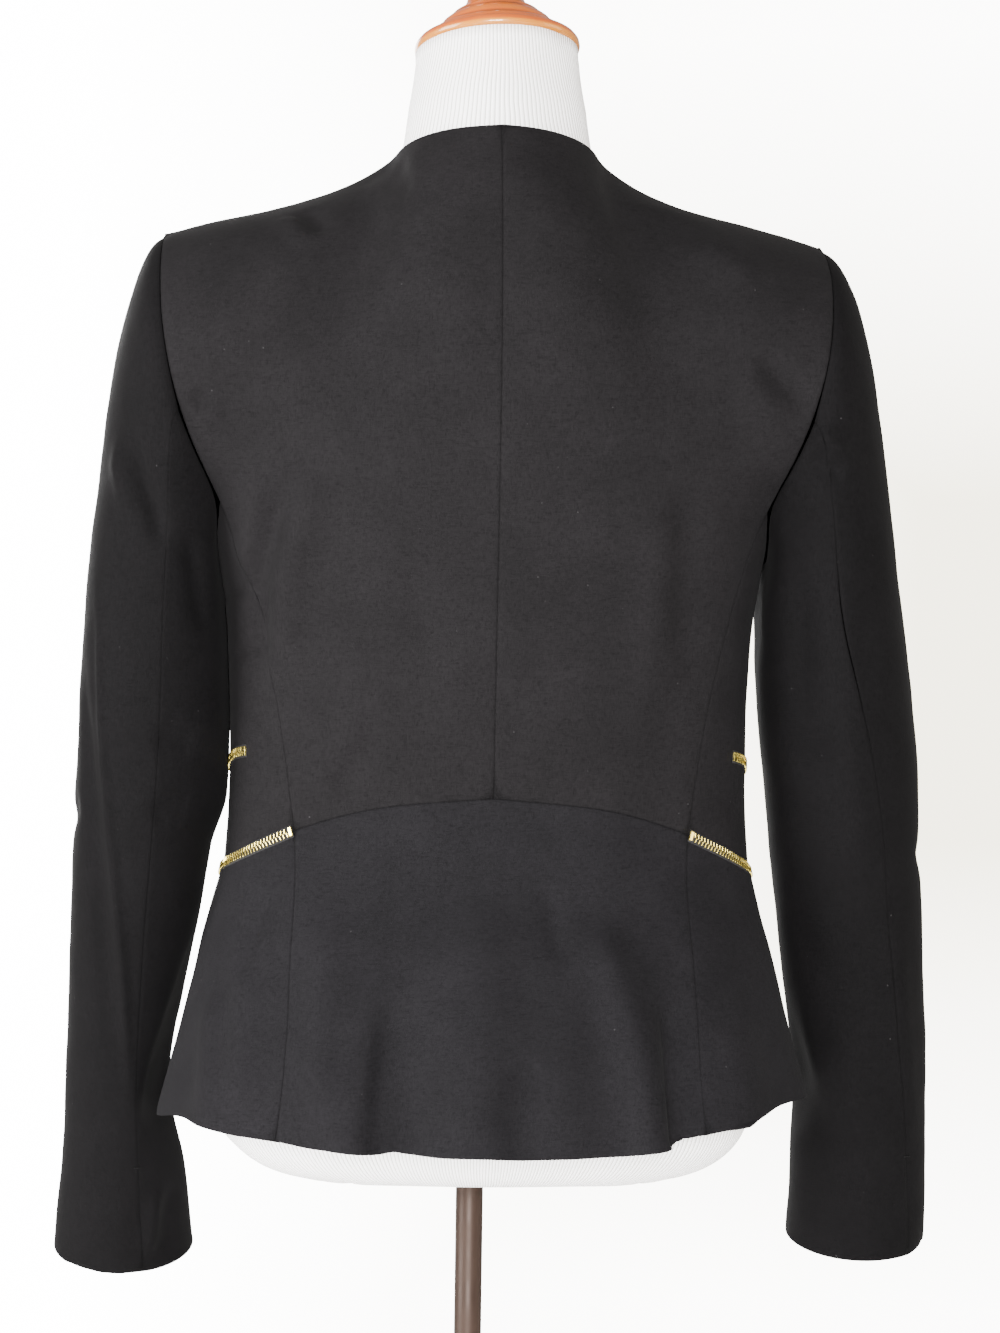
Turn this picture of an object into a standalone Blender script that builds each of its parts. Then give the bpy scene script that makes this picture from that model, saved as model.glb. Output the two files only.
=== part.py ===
"""A collarless blazer with a flared peplum, worn by a limbless dress form on a pole stand.

Metres, +Z up. The back faces +Y, the front -Y, and the wearer's left is +X.
The origin is the middle of the base's underside.
"""

import math
from collections import namedtuple

import bmesh
import bpy
import numpy as np

# Cloth
WALL = 0.0018
HALF_GAP = 0.0002
SLEEVE_GAP = 0.0005

# Points nearer than this count as one point
SAME_POINT = 0.00005

# Columns and rows of the body's panels
NECK_BACK_COLS = 4
NECK_FRONT_COLS = 5
SHOULDER_COLS = 4
SIDE_COLS = 6
LOWER_ROWS = 6
UPPER_ROWS = 8
PEPLUM_ROWS = 7
PEPLUM_BACK_COLS = 32
PEPLUM_SIDE_COLS = 12
PEPLUM_FRONT_COLS = 9

# A seam's height depends on its angle and the other way round, so both settle in a few turns
SETTLING_TURNS = 5
PEPLUM_FIRST_GUESS_Z = 0.93

# Where the armhole starts on the side-back and side-front seams, and how far the armpit dips
ARMHOLE_Z = 1.210
ARMPIT_DIP = 0.034
ARMPIT_Z = ARMHOLE_Z - ARMPIT_DIP

# Neck and shoulder points of the left half
NAPE = (0.0, 0.066, 1.4310)
NECK_POINT = (0.0630, 0.004, 1.4195)
SHOULDER_TIP = (0.2000, 0.000, 1.3725)
FRONT_NECK = (0.0, -0.098, 1.3420)

# The shoulder line from the neck point to the tip
Shoulder = namedtuple("Shoulder", "x height")
SHOULDER_LINE = [
    Shoulder(0.0630, 1.4195),
    Shoulder(0.0700, 1.4140),
    Shoulder(0.0820, 1.4060),
    Shoulder(0.0960, 1.4000),
    Shoulder(0.1100, 1.3945),
    Shoulder(0.1350, 1.3890),
    Shoulder(0.1550, 1.3850),
    Shoulder(0.1750, 1.3800),
    Shoulder(0.2000, 1.3725),
]
SHOULDER_SHARES = [0.0, 0.17, 0.42, 0.70, 1.0]

# How the yoke leaves the armhole level and reaches the neckline or shoulder seam, across a panel
Rise = namedtuple("Rise", "column leave_x leave_y leave_z arrive_x arrive_y arrive_z")
BACK_RISE = [
    Rise(0, 0.00, 0.030, 0.24, 0.00, -0.11, 0.20),
    Rise(4, 0.00, 0.035, 0.25, 0.00, -0.21, 0.12),
    Rise(6, 0.02, 0.060, 0.24, 0.00, -0.27, 0.03),
    Rise(8, 0.12, 0.160, 0.19, 0.00, -0.20, 0.05),
]
FRONT_RISE = [
    Rise(0, 0.02, -0.030, 0.20, 0.04, 0.20, 0.05),
    Rise(2, 0.01, -0.005, 0.23, 0.00, 0.25, 0.04),
    Rise(4, 0.00, 0.000, 0.24, 0.00, 0.16, 0.17),
    Rise(6, 0.00, 0.000, 0.20, 0.00, 0.10, 0.15),
    Rise(9, 0.00, 0.000, 0.13, 0.00, 0.06, 0.13),
]

# The body's level sections: half width, and depth behind and before the side line
Section = namedtuple("Section", "height half_width back front")
BODY_SECTIONS = [
    Section(0.825, 0.1990, 0.150, 0.132),
    Section(0.845, 0.1975, 0.148, 0.131),
    Section(0.870, 0.1910, 0.142, 0.128),
    Section(0.900, 0.1835, 0.131, 0.122),
    Section(0.930, 0.1765, 0.118, 0.115),
    Section(0.960, 0.1690, 0.103, 0.107),
    Section(0.985, 0.1625, 0.090, 0.099),
    Section(1.010, 0.1595, 0.083, 0.094),
    Section(1.035, 0.1590, 0.080, 0.091),
    Section(1.060, 0.1580, 0.081, 0.093),
    Section(1.100, 0.1585, 0.085, 0.103),
    Section(1.140, 0.1605, 0.090, 0.117),
    Section(1.180, 0.1675, 0.096, 0.129),
    Section(1.210, 0.1760, 0.100, 0.134),
]
BACK_SQUARENESS = 2.3
FRONT_SQUARENESS = 2.2

# Heights of the waist seam and of the hem, by the angle from the centre back (+ is the wearer's left)
Level = namedtuple("Level", "angle height")
WAIST_SEAM = [
    Level(0, 1.0360),
    Level(24, 1.0285),
    Level(43, 1.0160),
    Level(61, 1.0022),
    Level(75, 0.9945),
    Level(90, 0.9885),
    Level(137, 0.9690),
    Level(180, 0.9750),
]
HEM = [
    Level(-180, 0.843),
    Level(-120, 0.847),
    Level(-90, 0.856),
    Level(-60, 0.857),
    Level(-43, 0.851),
    Level(-24, 0.841),
    Level(0, 0.8395),
    Level(25, 0.8405),
    Level(45, 0.8445),
    Level(65, 0.8485),
    Level(90, 0.839),
    Level(120, 0.840),
    Level(180, 0.843),
]

# Half widths at which the side-back and side-front seams run
Seam = namedtuple("Seam", "height back_x front_x")
SIDE_SEAMS = [
    Seam(0.835, 0.1270, 0.1320),
    Seam(0.880, 0.1210, 0.1270),
    Seam(0.940, 0.1170, 0.1220),
    Seam(1.000, 0.1150, 0.1190),
    Seam(1.030, 0.1180, 0.1190),
    Seam(1.060, 0.1225, 0.1210),
    Seam(1.120, 0.1340, 0.1310),
    Seam(1.170, 0.1480, 0.1450),
    Seam(1.210, 0.1630, 0.1570),
]

# The peplum's flutes at the hem: where, how far out, half their spread, and where down the peplum they begin
Flute = namedtuple("Flute", "angle out spread start")
FLUTES = [
    Flute(19.5, 0.0060, 4.5, 0.20),
    Flute(13.0, -0.0100, 3.2, 0.40),
    Flute(2.0, 0.0060, 7.0, 0.10),
    Flute(-9.0, 0.0050, 6.0, 0.20),
    Flute(-23.0, 0.0055, 5.0, 0.30),
    Flute(-33.0, -0.0120, 4.0, 0.35),
    Flute(35.0, -0.0050, 6.0, 0.30),
    Flute(52.0, 0.0060, 6.0, 0.20),
    Flute(68.0, -0.0050, 6.0, 0.20),
    Flute(-46.0, 0.0040, 6.0, 0.20),
    Flute(-62.0, -0.0060, 7.0, 0.20),
    Flute(-78.0, 0.0040, 7.0, 0.20),
    Flute(108.0, 0.0030, 8.0, 0.20),
    Flute(128.0, -0.0060, 7.0, 0.30),
    Flute(148.0, 0.0070, 8.0, 0.20),
    Flute(-104.0, 0.0030, 8.0, 0.20),
    Flute(-125.0, -0.0060, 7.0, 0.30),
    Flute(-146.0, 0.0070, 8.0, 0.20),
]

# The sleeves' rings below the cap: middle, half width, half depth, and how far the sleeve is turned
Ring = namedtuple("Ring", "height x y half_width half_depth turn")
LEFT_SLEEVE = [
    Ring(1.145, 0.2010, 0.002, 0.0450, 0.058, 0),
    Ring(1.090, 0.2020, 0.000, 0.0465, 0.055, 0),
    Ring(1.030, 0.2065, -0.005, 0.0440, 0.051, 2),
    Ring(0.970, 0.2125, -0.013, 0.0405, 0.047, 4),
    Ring(0.910, 0.2170, -0.024, 0.0375, 0.044, 6),
    Ring(0.850, 0.2215, -0.037, 0.0355, 0.041, 10),
    Ring(0.800, 0.2220, -0.050, 0.0385, 0.040, 12),
    Ring(0.748, 0.2220, -0.066, 0.0440, 0.041, 12),
]
RIGHT_SLEEVE = [
    Ring(1.145, 0.2050, 0.002, 0.0465, 0.059, -8),
    Ring(1.090, 0.2120, 0.000, 0.0480, 0.056, -18),
    Ring(1.030, 0.2185, -0.004, 0.0475, 0.053, -28),
    Ring(0.970, 0.2245, -0.012, 0.0455, 0.049, -30),
    Ring(0.910, 0.2310, -0.022, 0.0440, 0.046, -33),
    Ring(0.850, 0.2360, -0.034, 0.0430, 0.043, -40),
    Ring(0.800, 0.2390, -0.046, 0.0430, 0.041, -46),
    Ring(0.757, 0.2395, -0.057, 0.0440, 0.041, -48),
]
CAP_STEPS = [0.0, 0.14, 0.30, 0.47, 0.64, 0.82]
SLEEVE_ROWS = 12
BACK_SEAM_COLUMN = 6
FRONT_SEAM_COLUMN = 16
BODY_CLEARANCE = 0.0045
ARMPIT_BLEND = 0.03
SLEEVE_FLUTE_ROOM = 0.0075
FLUTES_BEGIN_Z = 0.97
FLUTES_FULL_Z = 0.86
LEAN_REACH = 0.02

# How the sleeve cap leaves the armhole and reaches the first ring, under the arm and at the shoulder tip
LEAVE_UNDER = np.array([0.001, 0.0, -0.010])
LEAVE_TIP = np.array([0.020, 0.0, -0.001])
LEAVE_BEHIND = np.array([0.0, 0.006, 0.0])
ARRIVE_UNDER = np.array([0.0, 0.0, 0.010])
ARRIVE_TIP = np.array([-0.012, 0.0, 0.145])

# Zip trims
ZIP_HALF_WIDTH = 0.0032
ZIP_THICKNESS = 0.0014
ZIP_LIFT = 0.0012
ZIP_STATIONS = 12
ZIP_END_SHARE = 0.004
UPPER_ZIP_FIRST = 0.21
UPPER_ZIP_BEND = 1.45
UPPER_ZIP_BACK_Z = 1.0610
UPPER_ZIP_FRONT_Z = 1.0250

# The dress form
SEAT = 0.0003
EASE = 0.0050
SEAT_Z = (1.365, 1.270)
SEAT_Y = (0.0, -0.020)
SEAT_X = (0.155, 0.180)
ARM_PLATE_INSET = 0.2
FORM_MERGE = 0.0004
FORM_BOTTOM = 0.808
Hip = namedtuple("Hip", "height half_width back front")
FORM_HIPS = [
    Hip(0.955, 0.1490, 0.079, 0.088),
    Hip(0.925, 0.1560, 0.089, 0.093),
    Hip(0.895, 0.1630, 0.099, 0.097),
    Hip(0.865, 0.1680, 0.105, 0.100),
    Hip(0.838, 0.1665, 0.105, 0.099),
    Hip(0.824, 0.1580, 0.099, 0.093),
    Hip(0.813, 0.1440, 0.090, 0.084),
    Hip(0.808, 0.1260, 0.078, 0.072),
]
WAIST_BELOW_ARMPIT = 0.10
NECK_REACH_X = 0.085
NECK_RADIUS = 0.0495
NECK_TOP_Z = 1.4875
NECK_TOP_Y = -0.004
CAP_TILT = math.radians(9)
NECK_ROWS = 5
NECK_HURRY = 1.35

# The stand
FORM_SHIFT_X = -0.0076
POLE_RADIUS = 0.0083
BASE_RADIUS = 0.165
BASE_THICKNESS = 0.008
HUB_RADIUS = 0.021
HUB_HEIGHT = 0.034
POLE_SEAT = 0.0003
POLE_SEGMENTS = 24
BASE_SEGMENTS = 48
BASE_PROFILE = [
    (0, 0),
    (BASE_RADIUS - 0.002, 0),
    (BASE_RADIUS, 0.002),
    (BASE_RADIUS, BASE_THICKNESS - 0.003),
    (BASE_RADIUS - 0.003, BASE_THICKNESS),
    (HUB_RADIUS + 0.006, BASE_THICKNESS),
    (HUB_RADIUS, BASE_THICKNESS + 0.004),
    (HUB_RADIUS, HUB_HEIGHT - 0.003),
    (HUB_RADIUS - 0.003, HUB_HEIGHT),
    (0, HUB_HEIGHT),
]
CAP_SEAT = 0.0003
CAP_SEGMENTS = 32
CAP_PROFILE = [
    (0, 0),
    (0.0480, 0),
    (0.0500, 0.002),
    (0.0500, 0.0055),
    (0.0480, 0.0075),
    (0.0360, 0.0085),
    (0.0340, 0.0150),
    (0.0230, 0.0230),
    (0.0175, 0.0300),
    (0.0170, 0.0360),
    (0.0230, 0.0440),
    (0.0245, 0.0520),
    (0.0215, 0.0610),
    (0.0130, 0.0680),
    (0, 0.0700),
]


def hermite(start, leave, end, arrive, t):
    """A point on the cubic that leaves start and arrives at end with these slopes."""
    start, leave, end, arrive = (np.asarray(v, float) for v in (start, leave, end, arrive))
    a = 2 * t**3 - 3 * t**2 + 1
    b = t**3 - 2 * t**2 + t
    c = t**3 - t**2
    return a * start + b * leave + (1 - a) * end + c * arrive


def through(table, place, column, at):
    """The value of a table's column on a smooth curve through its rows."""
    places = np.array([getattr(row, place) for row in table], float)
    values = np.array([getattr(row, column) for row in table], float)
    if places[0] > places[-1]:
        places, values = places[::-1], values[::-1]
    slopes = np.gradient(values, places)
    at = min(max(at, places[0]), places[-1])
    i = min(max(int(np.searchsorted(places, at)) - 1, 0), len(places) - 2)
    span = places[i + 1] - places[i]
    t = (at - places[i]) / span
    return float(hermite(values[i], slopes[i] * span, values[i + 1], slopes[i + 1] * span, t))


def smoothstep(low, high, value):
    t = min(max((value - low) / (high - low), 0.0), 1.0)
    return t * t * (3 - 2 * t)


def superellipse(angle, half_width, back, front):
    """A point of a level section, at an angle in degrees from the centre back."""
    s, c = math.sin(math.radians(angle)), math.cos(math.radians(angle))
    square, depth = (BACK_SQUARENESS, back) if c >= 0 else (FRONT_SQUARENESS, front)
    x = half_width * math.copysign(abs(s) ** (2 / square), s)
    y = depth * math.copysign(abs(c) ** (2 / square), c)
    return x, y


def body_ring(angle, z):
    width, back, front = (
        through(BODY_SECTIONS, "height", name, z) for name in ("half_width", "back", "front")
    )
    x, y = superellipse(angle, width, back, front)
    return np.array([x, y, z])


def seam_angle(z, name):
    """The angle at which the side-back or side-front seam crosses a height."""
    width = through(BODY_SECTIONS, "height", "half_width", z)
    share = min(through(SIDE_SEAMS, "height", name, z) / width, 1.0)
    if name == "back_x":
        return math.degrees(math.asin(share ** (BACK_SQUARENESS / 2)))
    return 180 - math.degrees(math.asin(share ** (FRONT_SQUARENESS / 2)))


def panel_angle(fraction, z, panel):
    """The angle of a share of the way across a panel, at a height."""
    side_back, side_front = seam_angle(z, "back_x"), seam_angle(z, "front_x")
    low, high = {
        "back": (0.0, side_back),
        "side": (side_back, side_front),
        "front": (side_front, 180.0),
        "whole back": (-side_back, side_back),
    }[panel]
    return low + fraction * (high - low)


def bodice_point(fraction, v, panel, top):
    """A point of the bodice under the armhole, v of the way from the waist seam to the top."""
    z = top
    for _ in range(SETTLING_TURNS):
        angle = panel_angle(fraction, z, panel)
        waist = through(WAIST_SEAM, "angle", "height", angle)
        z = waist + v * (top - waist)
    return body_ring(panel_angle(fraction, z, panel), z)


def shoulder_point(share):
    x = NECK_POINT[0] + share * (SHOULDER_TIP[0] - NECK_POINT[0])
    y = NECK_POINT[1] + share * (SHOULDER_TIP[1] - NECK_POINT[1])
    return np.array([x, y, through(SHOULDER_LINE, "x", "height", x)])


def neckline_point(share, middle):
    """A point of the round neckline, from the neck point to the middle of the back or front."""
    around = share * math.pi / 2
    low = np.array([0.0, NECK_POINT[1], NECK_POINT[2]])
    toward = np.array(middle) - low
    return low + toward * math.sin(around) + np.array([NECK_POINT[0] * math.cos(around), 0, 0])


def top_edge(panel):
    """The neckline and shoulder seam of one half, with a point for each column."""
    shoulder = [shoulder_point(share) for share in SHOULDER_SHARES]
    if panel == "back":
        neck = [neckline_point(1 - i / NECK_BACK_COLS, NAPE) for i in range(NECK_BACK_COLS)]
        return neck + shoulder
    neck = [neckline_point((i + 1) / NECK_FRONT_COLS, FRONT_NECK) for i in range(NECK_FRONT_COLS)]
    return shoulder[::-1] + neck


def yoke_point(panel, column, start, end, v):
    table = BACK_RISE if panel == "back" else FRONT_RISE
    leave = [through(table, "column", "leave_" + axis, column) for axis in "xyz"]
    arrive = [through(table, "column", "arrive_" + axis, column) for axis in "xyz"]
    return hermite(start, leave, end, arrive, v)


def bodice_grid(panel):
    """Rows up from the waist seam, columns round from the centre back, on the left half."""
    if panel == "side":
        rows = []
        for r in range(LOWER_ROWS + 1):
            shares = [c / SIDE_COLS for c in range(SIDE_COLS + 1)]
            tops = [ARMHOLE_Z - ARMPIT_DIP * math.sin(math.pi * s) for s in shares]
            rows.append([bodice_point(s, r / LOWER_ROWS, panel, t) for s, t in zip(shares, tops)])
        return np.array(rows)
    edge = top_edge(panel)
    last = len(edge) - 1
    rows = []
    for r in range(LOWER_ROWS + 1):
        rows.append([bodice_point(c / last, r / LOWER_ROWS, panel, ARMHOLE_Z) for c in range(last + 1)])
    base = rows[-1]
    for r in range(1, UPPER_ROWS + 1):
        v = r / UPPER_ROWS
        rows.append([yoke_point(panel, c, base[c], edge[c], v) for c in range(last + 1)])
    return np.array(rows)


def flute_out(angle, t):
    """How far the flutes push the peplum out at an angle, t of the way down from the waist seam."""
    out = 0.0
    for flute in FLUTES:
        reach = math.exp(-(((angle - flute.angle) / flute.spread) ** 2))
        out += flute.out * reach * smoothstep(flute.start, 1.0, t)
    return out


def peplum_point(fraction, t, panel, side):
    z = PEPLUM_FIRST_GUESS_Z
    for _ in range(SETTLING_TURNS):
        angle = side * panel_angle(fraction, z, panel)
        waist = through(WAIST_SEAM, "angle", "height", abs(angle))
        z = waist + t * (through(HEM, "angle", "height", angle) - waist)
    point = body_ring(angle, z)
    turn = math.radians(angle)
    return point + flute_out(angle, t) * np.array([math.sin(turn), math.cos(turn), 0])


def peplum_grid(panel, cols, side):
    """Rows up from the hem, columns in the order of the signed angle."""
    shares = [c / cols for c in range(cols + 1)]
    if side < 0:
        shares.reverse()
    rows = []
    for r in range(PEPLUM_ROWS + 1):
        rows.append([peplum_point(share, 1 - r / PEPLUM_ROWS, panel, side) for share in shares])
    return np.array(rows)


def mirrored(grid):
    return grid[:, ::-1] * np.array([-1.0, 1.0, 1.0])


def armhole(back, side, front):
    """The armhole of the left half: from the tip down the back, under the arm and up the front."""
    down = [back[r, -1] for r in range(LOWER_ROWS + UPPER_ROWS, LOWER_ROWS - 1, -1)]
    under = [side[LOWER_ROWS, c] for c in range(1, SIDE_COLS + 1)]
    up = [front[r, 0] for r in range(LOWER_ROWS + 1, LOWER_ROWS + UPPER_ROWS)]
    return np.array(down + under + up)


def clear_of_body(point):
    """A sleeve point of the left half, moved out sideways where it would touch the body."""
    x, y, z = point
    if z > ARMPIT_Z or z < BODY_SECTIONS[0].height:
        return point
    width = through(BODY_SECTIONS, "height", "half_width", z)
    depth, square = ("back", BACK_SQUARENESS) if y >= 0 else ("front", FRONT_SQUARENESS)
    share = min(abs(y) / through(BODY_SECTIONS, "height", depth, z), 1.0)
    edge = width * (1 - share**square) ** (1 / square)
    fluted = SLEEVE_FLUTE_ROOM * smoothstep(FLUTES_BEGIN_Z, FLUTES_FULL_Z, z)
    near = smoothstep(ARMPIT_Z, ARMPIT_Z - ARMPIT_BLEND, z)
    return np.array([max(x, edge + fluted + BODY_CLEARANCE * near + SLEEVE_GAP), y, z])


def sleeve_ring(table, z, turn_of):
    """One ring below the cap, square to the sleeve's own middle line."""
    x, y, half_width, half_depth, turn = (
        through(table, "height", name, z) for name in ("x", "y", "half_width", "half_depth", "turn")
    )
    lower = max(z - LEAN_REACH, table[-1].height)
    upper = min(lower + 2 * LEAN_REACH, table[0].height)
    lean = (through(table, "height", "y", upper) - through(table, "height", "y", lower)) / (upper - lower)
    tilt = math.atan(lean)
    points = []
    for share in turn_of:
        angle = math.radians(360 * share + turn)
        back = half_depth * math.sin(angle)
        offset = [half_width * math.cos(angle), back * math.cos(tilt), -back * math.sin(tilt)]
        points.append(clear_of_body(np.array([x, y, z]) + np.array(offset)))
    return points


def sleeve_grid(loop, table):
    """Rows down from the armhole, columns from the shoulder tip round by the back."""
    count = len(loop)
    shares = [i / count for i in range(count)]
    biceps = sleeve_ring(table, table[0].height, shares)
    rows = []
    for t in CAP_STEPS:
        row = []
        for share, start, end in zip(shares, loop, biceps):
            outer = (1 + math.cos(2 * math.pi * share)) / 2
            behind = math.sin(2 * math.pi * share)
            first = start + np.array([SLEEVE_GAP, 0, 0])
            leave = LEAVE_UNDER + (LEAVE_TIP - LEAVE_UNDER) * outer + LEAVE_BEHIND * behind
            arrive = ARRIVE_UNDER + (ARRIVE_TIP - ARRIVE_UNDER) * outer
            a, b, c = (1 - t) ** 3, 3 * t * (1 - t) ** 2, 3 * t * t * (1 - t)
            point = a * first + b * (first + leave) + c * (end + arrive) + t**3 * end
            row.append(clear_of_body(point) if t else point)
        rows.append(row)
    for r in range(SLEEVE_ROWS + 1):
        z = table[0].height + (table[-1].height - table[0].height) * r / SLEEVE_ROWS
        rows.append(sleeve_ring(table, z, shares))
    return np.array(rows)


def key_of(point):
    """The same key for points that coincide."""
    return tuple(int(round(float(v) / SAME_POINT)) for v in point)


def shared_normals(grids):
    """A normal for each point of each grid, the same where grids meet."""
    sums = {}
    for grid in grids:
        for r in range(grid.shape[0] - 1):
            for c in range(grid.shape[1] - 1):
                corners = grid[r, c], grid[r + 1, c], grid[r + 1, c + 1], grid[r, c + 1]
                face = np.cross(corners[2] - corners[0], corners[3] - corners[1])
                for corner in corners:
                    key = key_of(corner)
                    sums[key] = sums.get(key, np.zeros(3)) + face
    found = []
    for grid in grids:
        normals = np.array([[sums[key_of(p)] for p in row] for row in grid])
        found.append(normals / np.linalg.norm(normals, axis=2, keepdims=True))
    return found


def pulled_in(grid, amount):
    """The grid with its rim moved in by half of a seam's gap."""
    moved = grid.copy()
    for edge, inner in (((0,), (1,)), ((-1,), (-2,))):
        step = grid[inner[0]] - grid[edge[0]]
        moved[edge[0]] += amount * step / np.linalg.norm(step, axis=1, keepdims=True)
        step = grid[:, inner[0]] - grid[:, edge[0]]
        moved[:, edge[0]] += amount * step / np.linalg.norm(step, axis=1, keepdims=True)
    return moved


def add_skin(mesh, grid, outward):
    """The grid's faces in a bmesh, as rows of vertices."""
    verts = [[mesh.verts.new(p) for p in row] for row in grid]
    for r in range(len(verts) - 1):
        for c in range(len(verts[0]) - 1):
            a, b, d, e = verts[r][c], verts[r + 1][c], verts[r + 1][c + 1], verts[r][c + 1]
            for face in ([a, b, d], [a, d, e]):
                mesh.faces.new(face if outward else face[::-1])
    return verts


def rim_of(verts):
    top = verts[0]
    right = [row[-1] for row in verts[1:]]
    bottom = verts[-1][-2::-1]
    left = [row[0] for row in verts[-2:0:-1]]
    return list(top) + right + list(bottom) + left


def wall_mesh(grid, normals, low, high, gap):
    """A closed wall between the grid moved out by low and by high along its normals."""
    mesh = bmesh.new()
    inset = pulled_in(grid, gap)
    outer = add_skin(mesh, inset + high * normals, True)
    inner = add_skin(mesh, inset + low * normals, False)
    outer_rim, inner_rim = rim_of(outer), rim_of(inner)
    for i in range(len(outer_rim)):
        j = (i + 1) % len(outer_rim)
        mesh.faces.new([outer_rim[j], inner_rim[j], inner_rim[i], outer_rim[i]])
    bmesh.ops.recalc_face_normals(mesh, faces=mesh.faces)
    return mesh


def finish_material(name, color, roughness, metallic=0.0):
    material = bpy.data.materials.new(name)
    material.use_nodes = True
    shader = material.node_tree.nodes["Principled BSDF"]
    shader.inputs["Base Color"].default_value = (*color, 1)
    shader.inputs["Roughness"].default_value = roughness
    shader.inputs["Metallic"].default_value = metallic
    return material


def place(name, mesh, material, parent):
    data = bpy.data.meshes.new(name)
    mesh.to_mesh(data)
    mesh.free()
    data.shade_smooth()
    data.set_sharp_from_angle(angle=math.radians(40))
    data.materials.append(material)
    obj = bpy.data.objects.new(name, data)
    bpy.context.scene.collection.objects.link(obj)
    obj.parent = parent
    return obj


def patch_point(grid, row, column):
    """A point on the flat facets of a grid, at a share of the way between its rows and columns."""
    r = min(int(row), grid.shape[0] - 2)
    c = min(int(column), grid.shape[1] - 2)
    a, b = row - r, column - c
    low = grid[r, c] * (1 - b) + grid[r, c + 1] * b
    high = grid[r + 1, c] * (1 - b) + grid[r + 1, c + 1] * b
    return low * (1 - a) + high * a


def row_at_height(grid, column, z):
    """The row number at which a column of a grid reaches a height."""
    heights = [patch_point(grid, r, column)[2] for r in range(grid.shape[0])]
    return float(np.interp(z, heights, range(grid.shape[0])))


def zip_stations(first, last):
    """Panel columns along a zip trim, with the panel's own columns among them."""
    span = SIDE_COLS * (last - first)
    return [SIDE_COLS * first + span * i / ZIP_STATIONS for i in range(ZIP_STATIONS + 1)]


def lower_zip(panel, skirt):
    """The trim over the side body's waist seam, from the points of the panels above and below it."""
    rows = [[], [], []]
    for column in zip_stations(ZIP_END_SHARE, 1 - ZIP_END_SHARE):
        seam = patch_point(panel, 0, column)[2]
        high = patch_point(panel, row_at_height(panel, column, seam + ZIP_HALF_WIDTH), column)
        below = column / SIDE_COLS * (skirt.shape[1] - 1)
        low = patch_point(skirt, row_at_height(skirt, below, seam - ZIP_HALF_WIDTH), below)
        rows[0].append(low)
        rows[1].append((low + high) / 2)
        rows[2].append(high)
    return np.array(rows)


def upper_zip(panel, reverse):
    """The trim across the side body above the waist, falling from back to front."""
    rows = [[], [], []]
    for i in range(ZIP_STATIONS + 1):
        share = i / ZIP_STATIONS
        fall = share**UPPER_ZIP_BEND
        height = UPPER_ZIP_BACK_Z + fall * (UPPER_ZIP_FRONT_Z - UPPER_ZIP_BACK_Z)
        column = SIDE_COLS * (UPPER_ZIP_FIRST + share * (1 - ZIP_END_SHARE - UPPER_ZIP_FIRST))
        if reverse:
            column = SIDE_COLS - column
        for row, step in zip(rows, (-1, 0, 1)):
            z = height + step * ZIP_HALF_WIDTH
            row.append(patch_point(panel, row_at_height(panel, column, z), column))
    grid = np.array(rows)
    return grid[:, ::-1] if reverse else grid


def lathe(profile, segments, tilt=0.0, centre=(0, 0, 0)):
    """A solid turned from a profile of radius and height pairs, the first and last on its axis."""
    mesh = bmesh.new()
    verts = [mesh.verts.new((radius, 0, height)) for radius, height in profile]
    edges = [mesh.edges.new(pair) for pair in zip(verts, verts[1:])]
    bmesh.ops.spin(
        mesh,
        geom=verts + edges,
        cent=(0, 0, 0),
        axis=(0, 0, 1),
        angle=2 * math.pi,
        steps=segments,
        use_merge=True,
    )
    bmesh.ops.remove_doubles(mesh, verts=mesh.verts, dist=SAME_POINT)
    bmesh.ops.recalc_face_normals(mesh, faces=mesh.faces)
    lean = np.array(
        [[1, 0, 0], [0, math.cos(tilt), -math.sin(tilt)], [0, math.sin(tilt), math.cos(tilt)]]
    )
    for vert in mesh.verts:
        vert.co = lean @ np.array(vert.co) + np.array(centre)
    return mesh


def ease_at(point):
    """The room between the blazer and the form: a seat on the back of the shoulders, then ease."""
    x, y, z = point
    off_seat = max(
        smoothstep(*SEAT_Z, z),
        smoothstep(*SEAT_Y, y),
        smoothstep(*SEAT_X, abs(x)),
    )
    return SEAT + (EASE - SEAT) * off_seat


def form_grid(grid, normals, trims):
    """A panel's grid moved in to the form's surface, short of the armhole columns in trims."""
    room = np.array([[[WALL + ease_at(p)] for p in row] for row in grid])
    moved = grid - room * normals
    for edge, inner in trims:
        step = moved[LOWER_ROWS:, inner] - moved[LOWER_ROWS:, edge]
        moved[LOWER_ROWS:, edge] += ARM_PLATE_INSET * step
    return moved


def boundary_loop(mesh, test):
    """The open edges whose both ends pass a test."""
    return [e for e in mesh.edges if e.is_boundary and all(test(v.co) for v in e.verts)]


def extruded_ring(mesh, edges, move):
    """The open edges extruded once, with each new vertex moved by a rule."""
    made = bmesh.ops.extrude_edge_only(mesh, edges=edges)["geom"]
    for vert in [g for g in made if isinstance(g, bmesh.types.BMVert)]:
        vert.co = move(vert.co)
    return [g for g in made if isinstance(g, bmesh.types.BMEdge) and g.is_boundary]


def neck_move(step):
    """Moves a ring of the neck a share of the way from the neckline up to the neck's top."""

    def move(co):
        angle = math.atan2(co[0], co[1])
        top_y = NECK_TOP_Y + NECK_RADIUS * math.cos(angle) * math.cos(CAP_TILT)
        top = np.array(
            [
                NECK_RADIUS * math.sin(angle),
                top_y,
                NECK_TOP_Z + (top_y - NECK_TOP_Y) * math.tan(CAP_TILT),
            ]
        )
        part = 1 / (NECK_ROWS - step + 1)
        inward = min(1.0, NECK_HURRY * part)
        return np.array(co) + np.array([inward, inward, part]) * (top - np.array(co))

    return move


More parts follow.
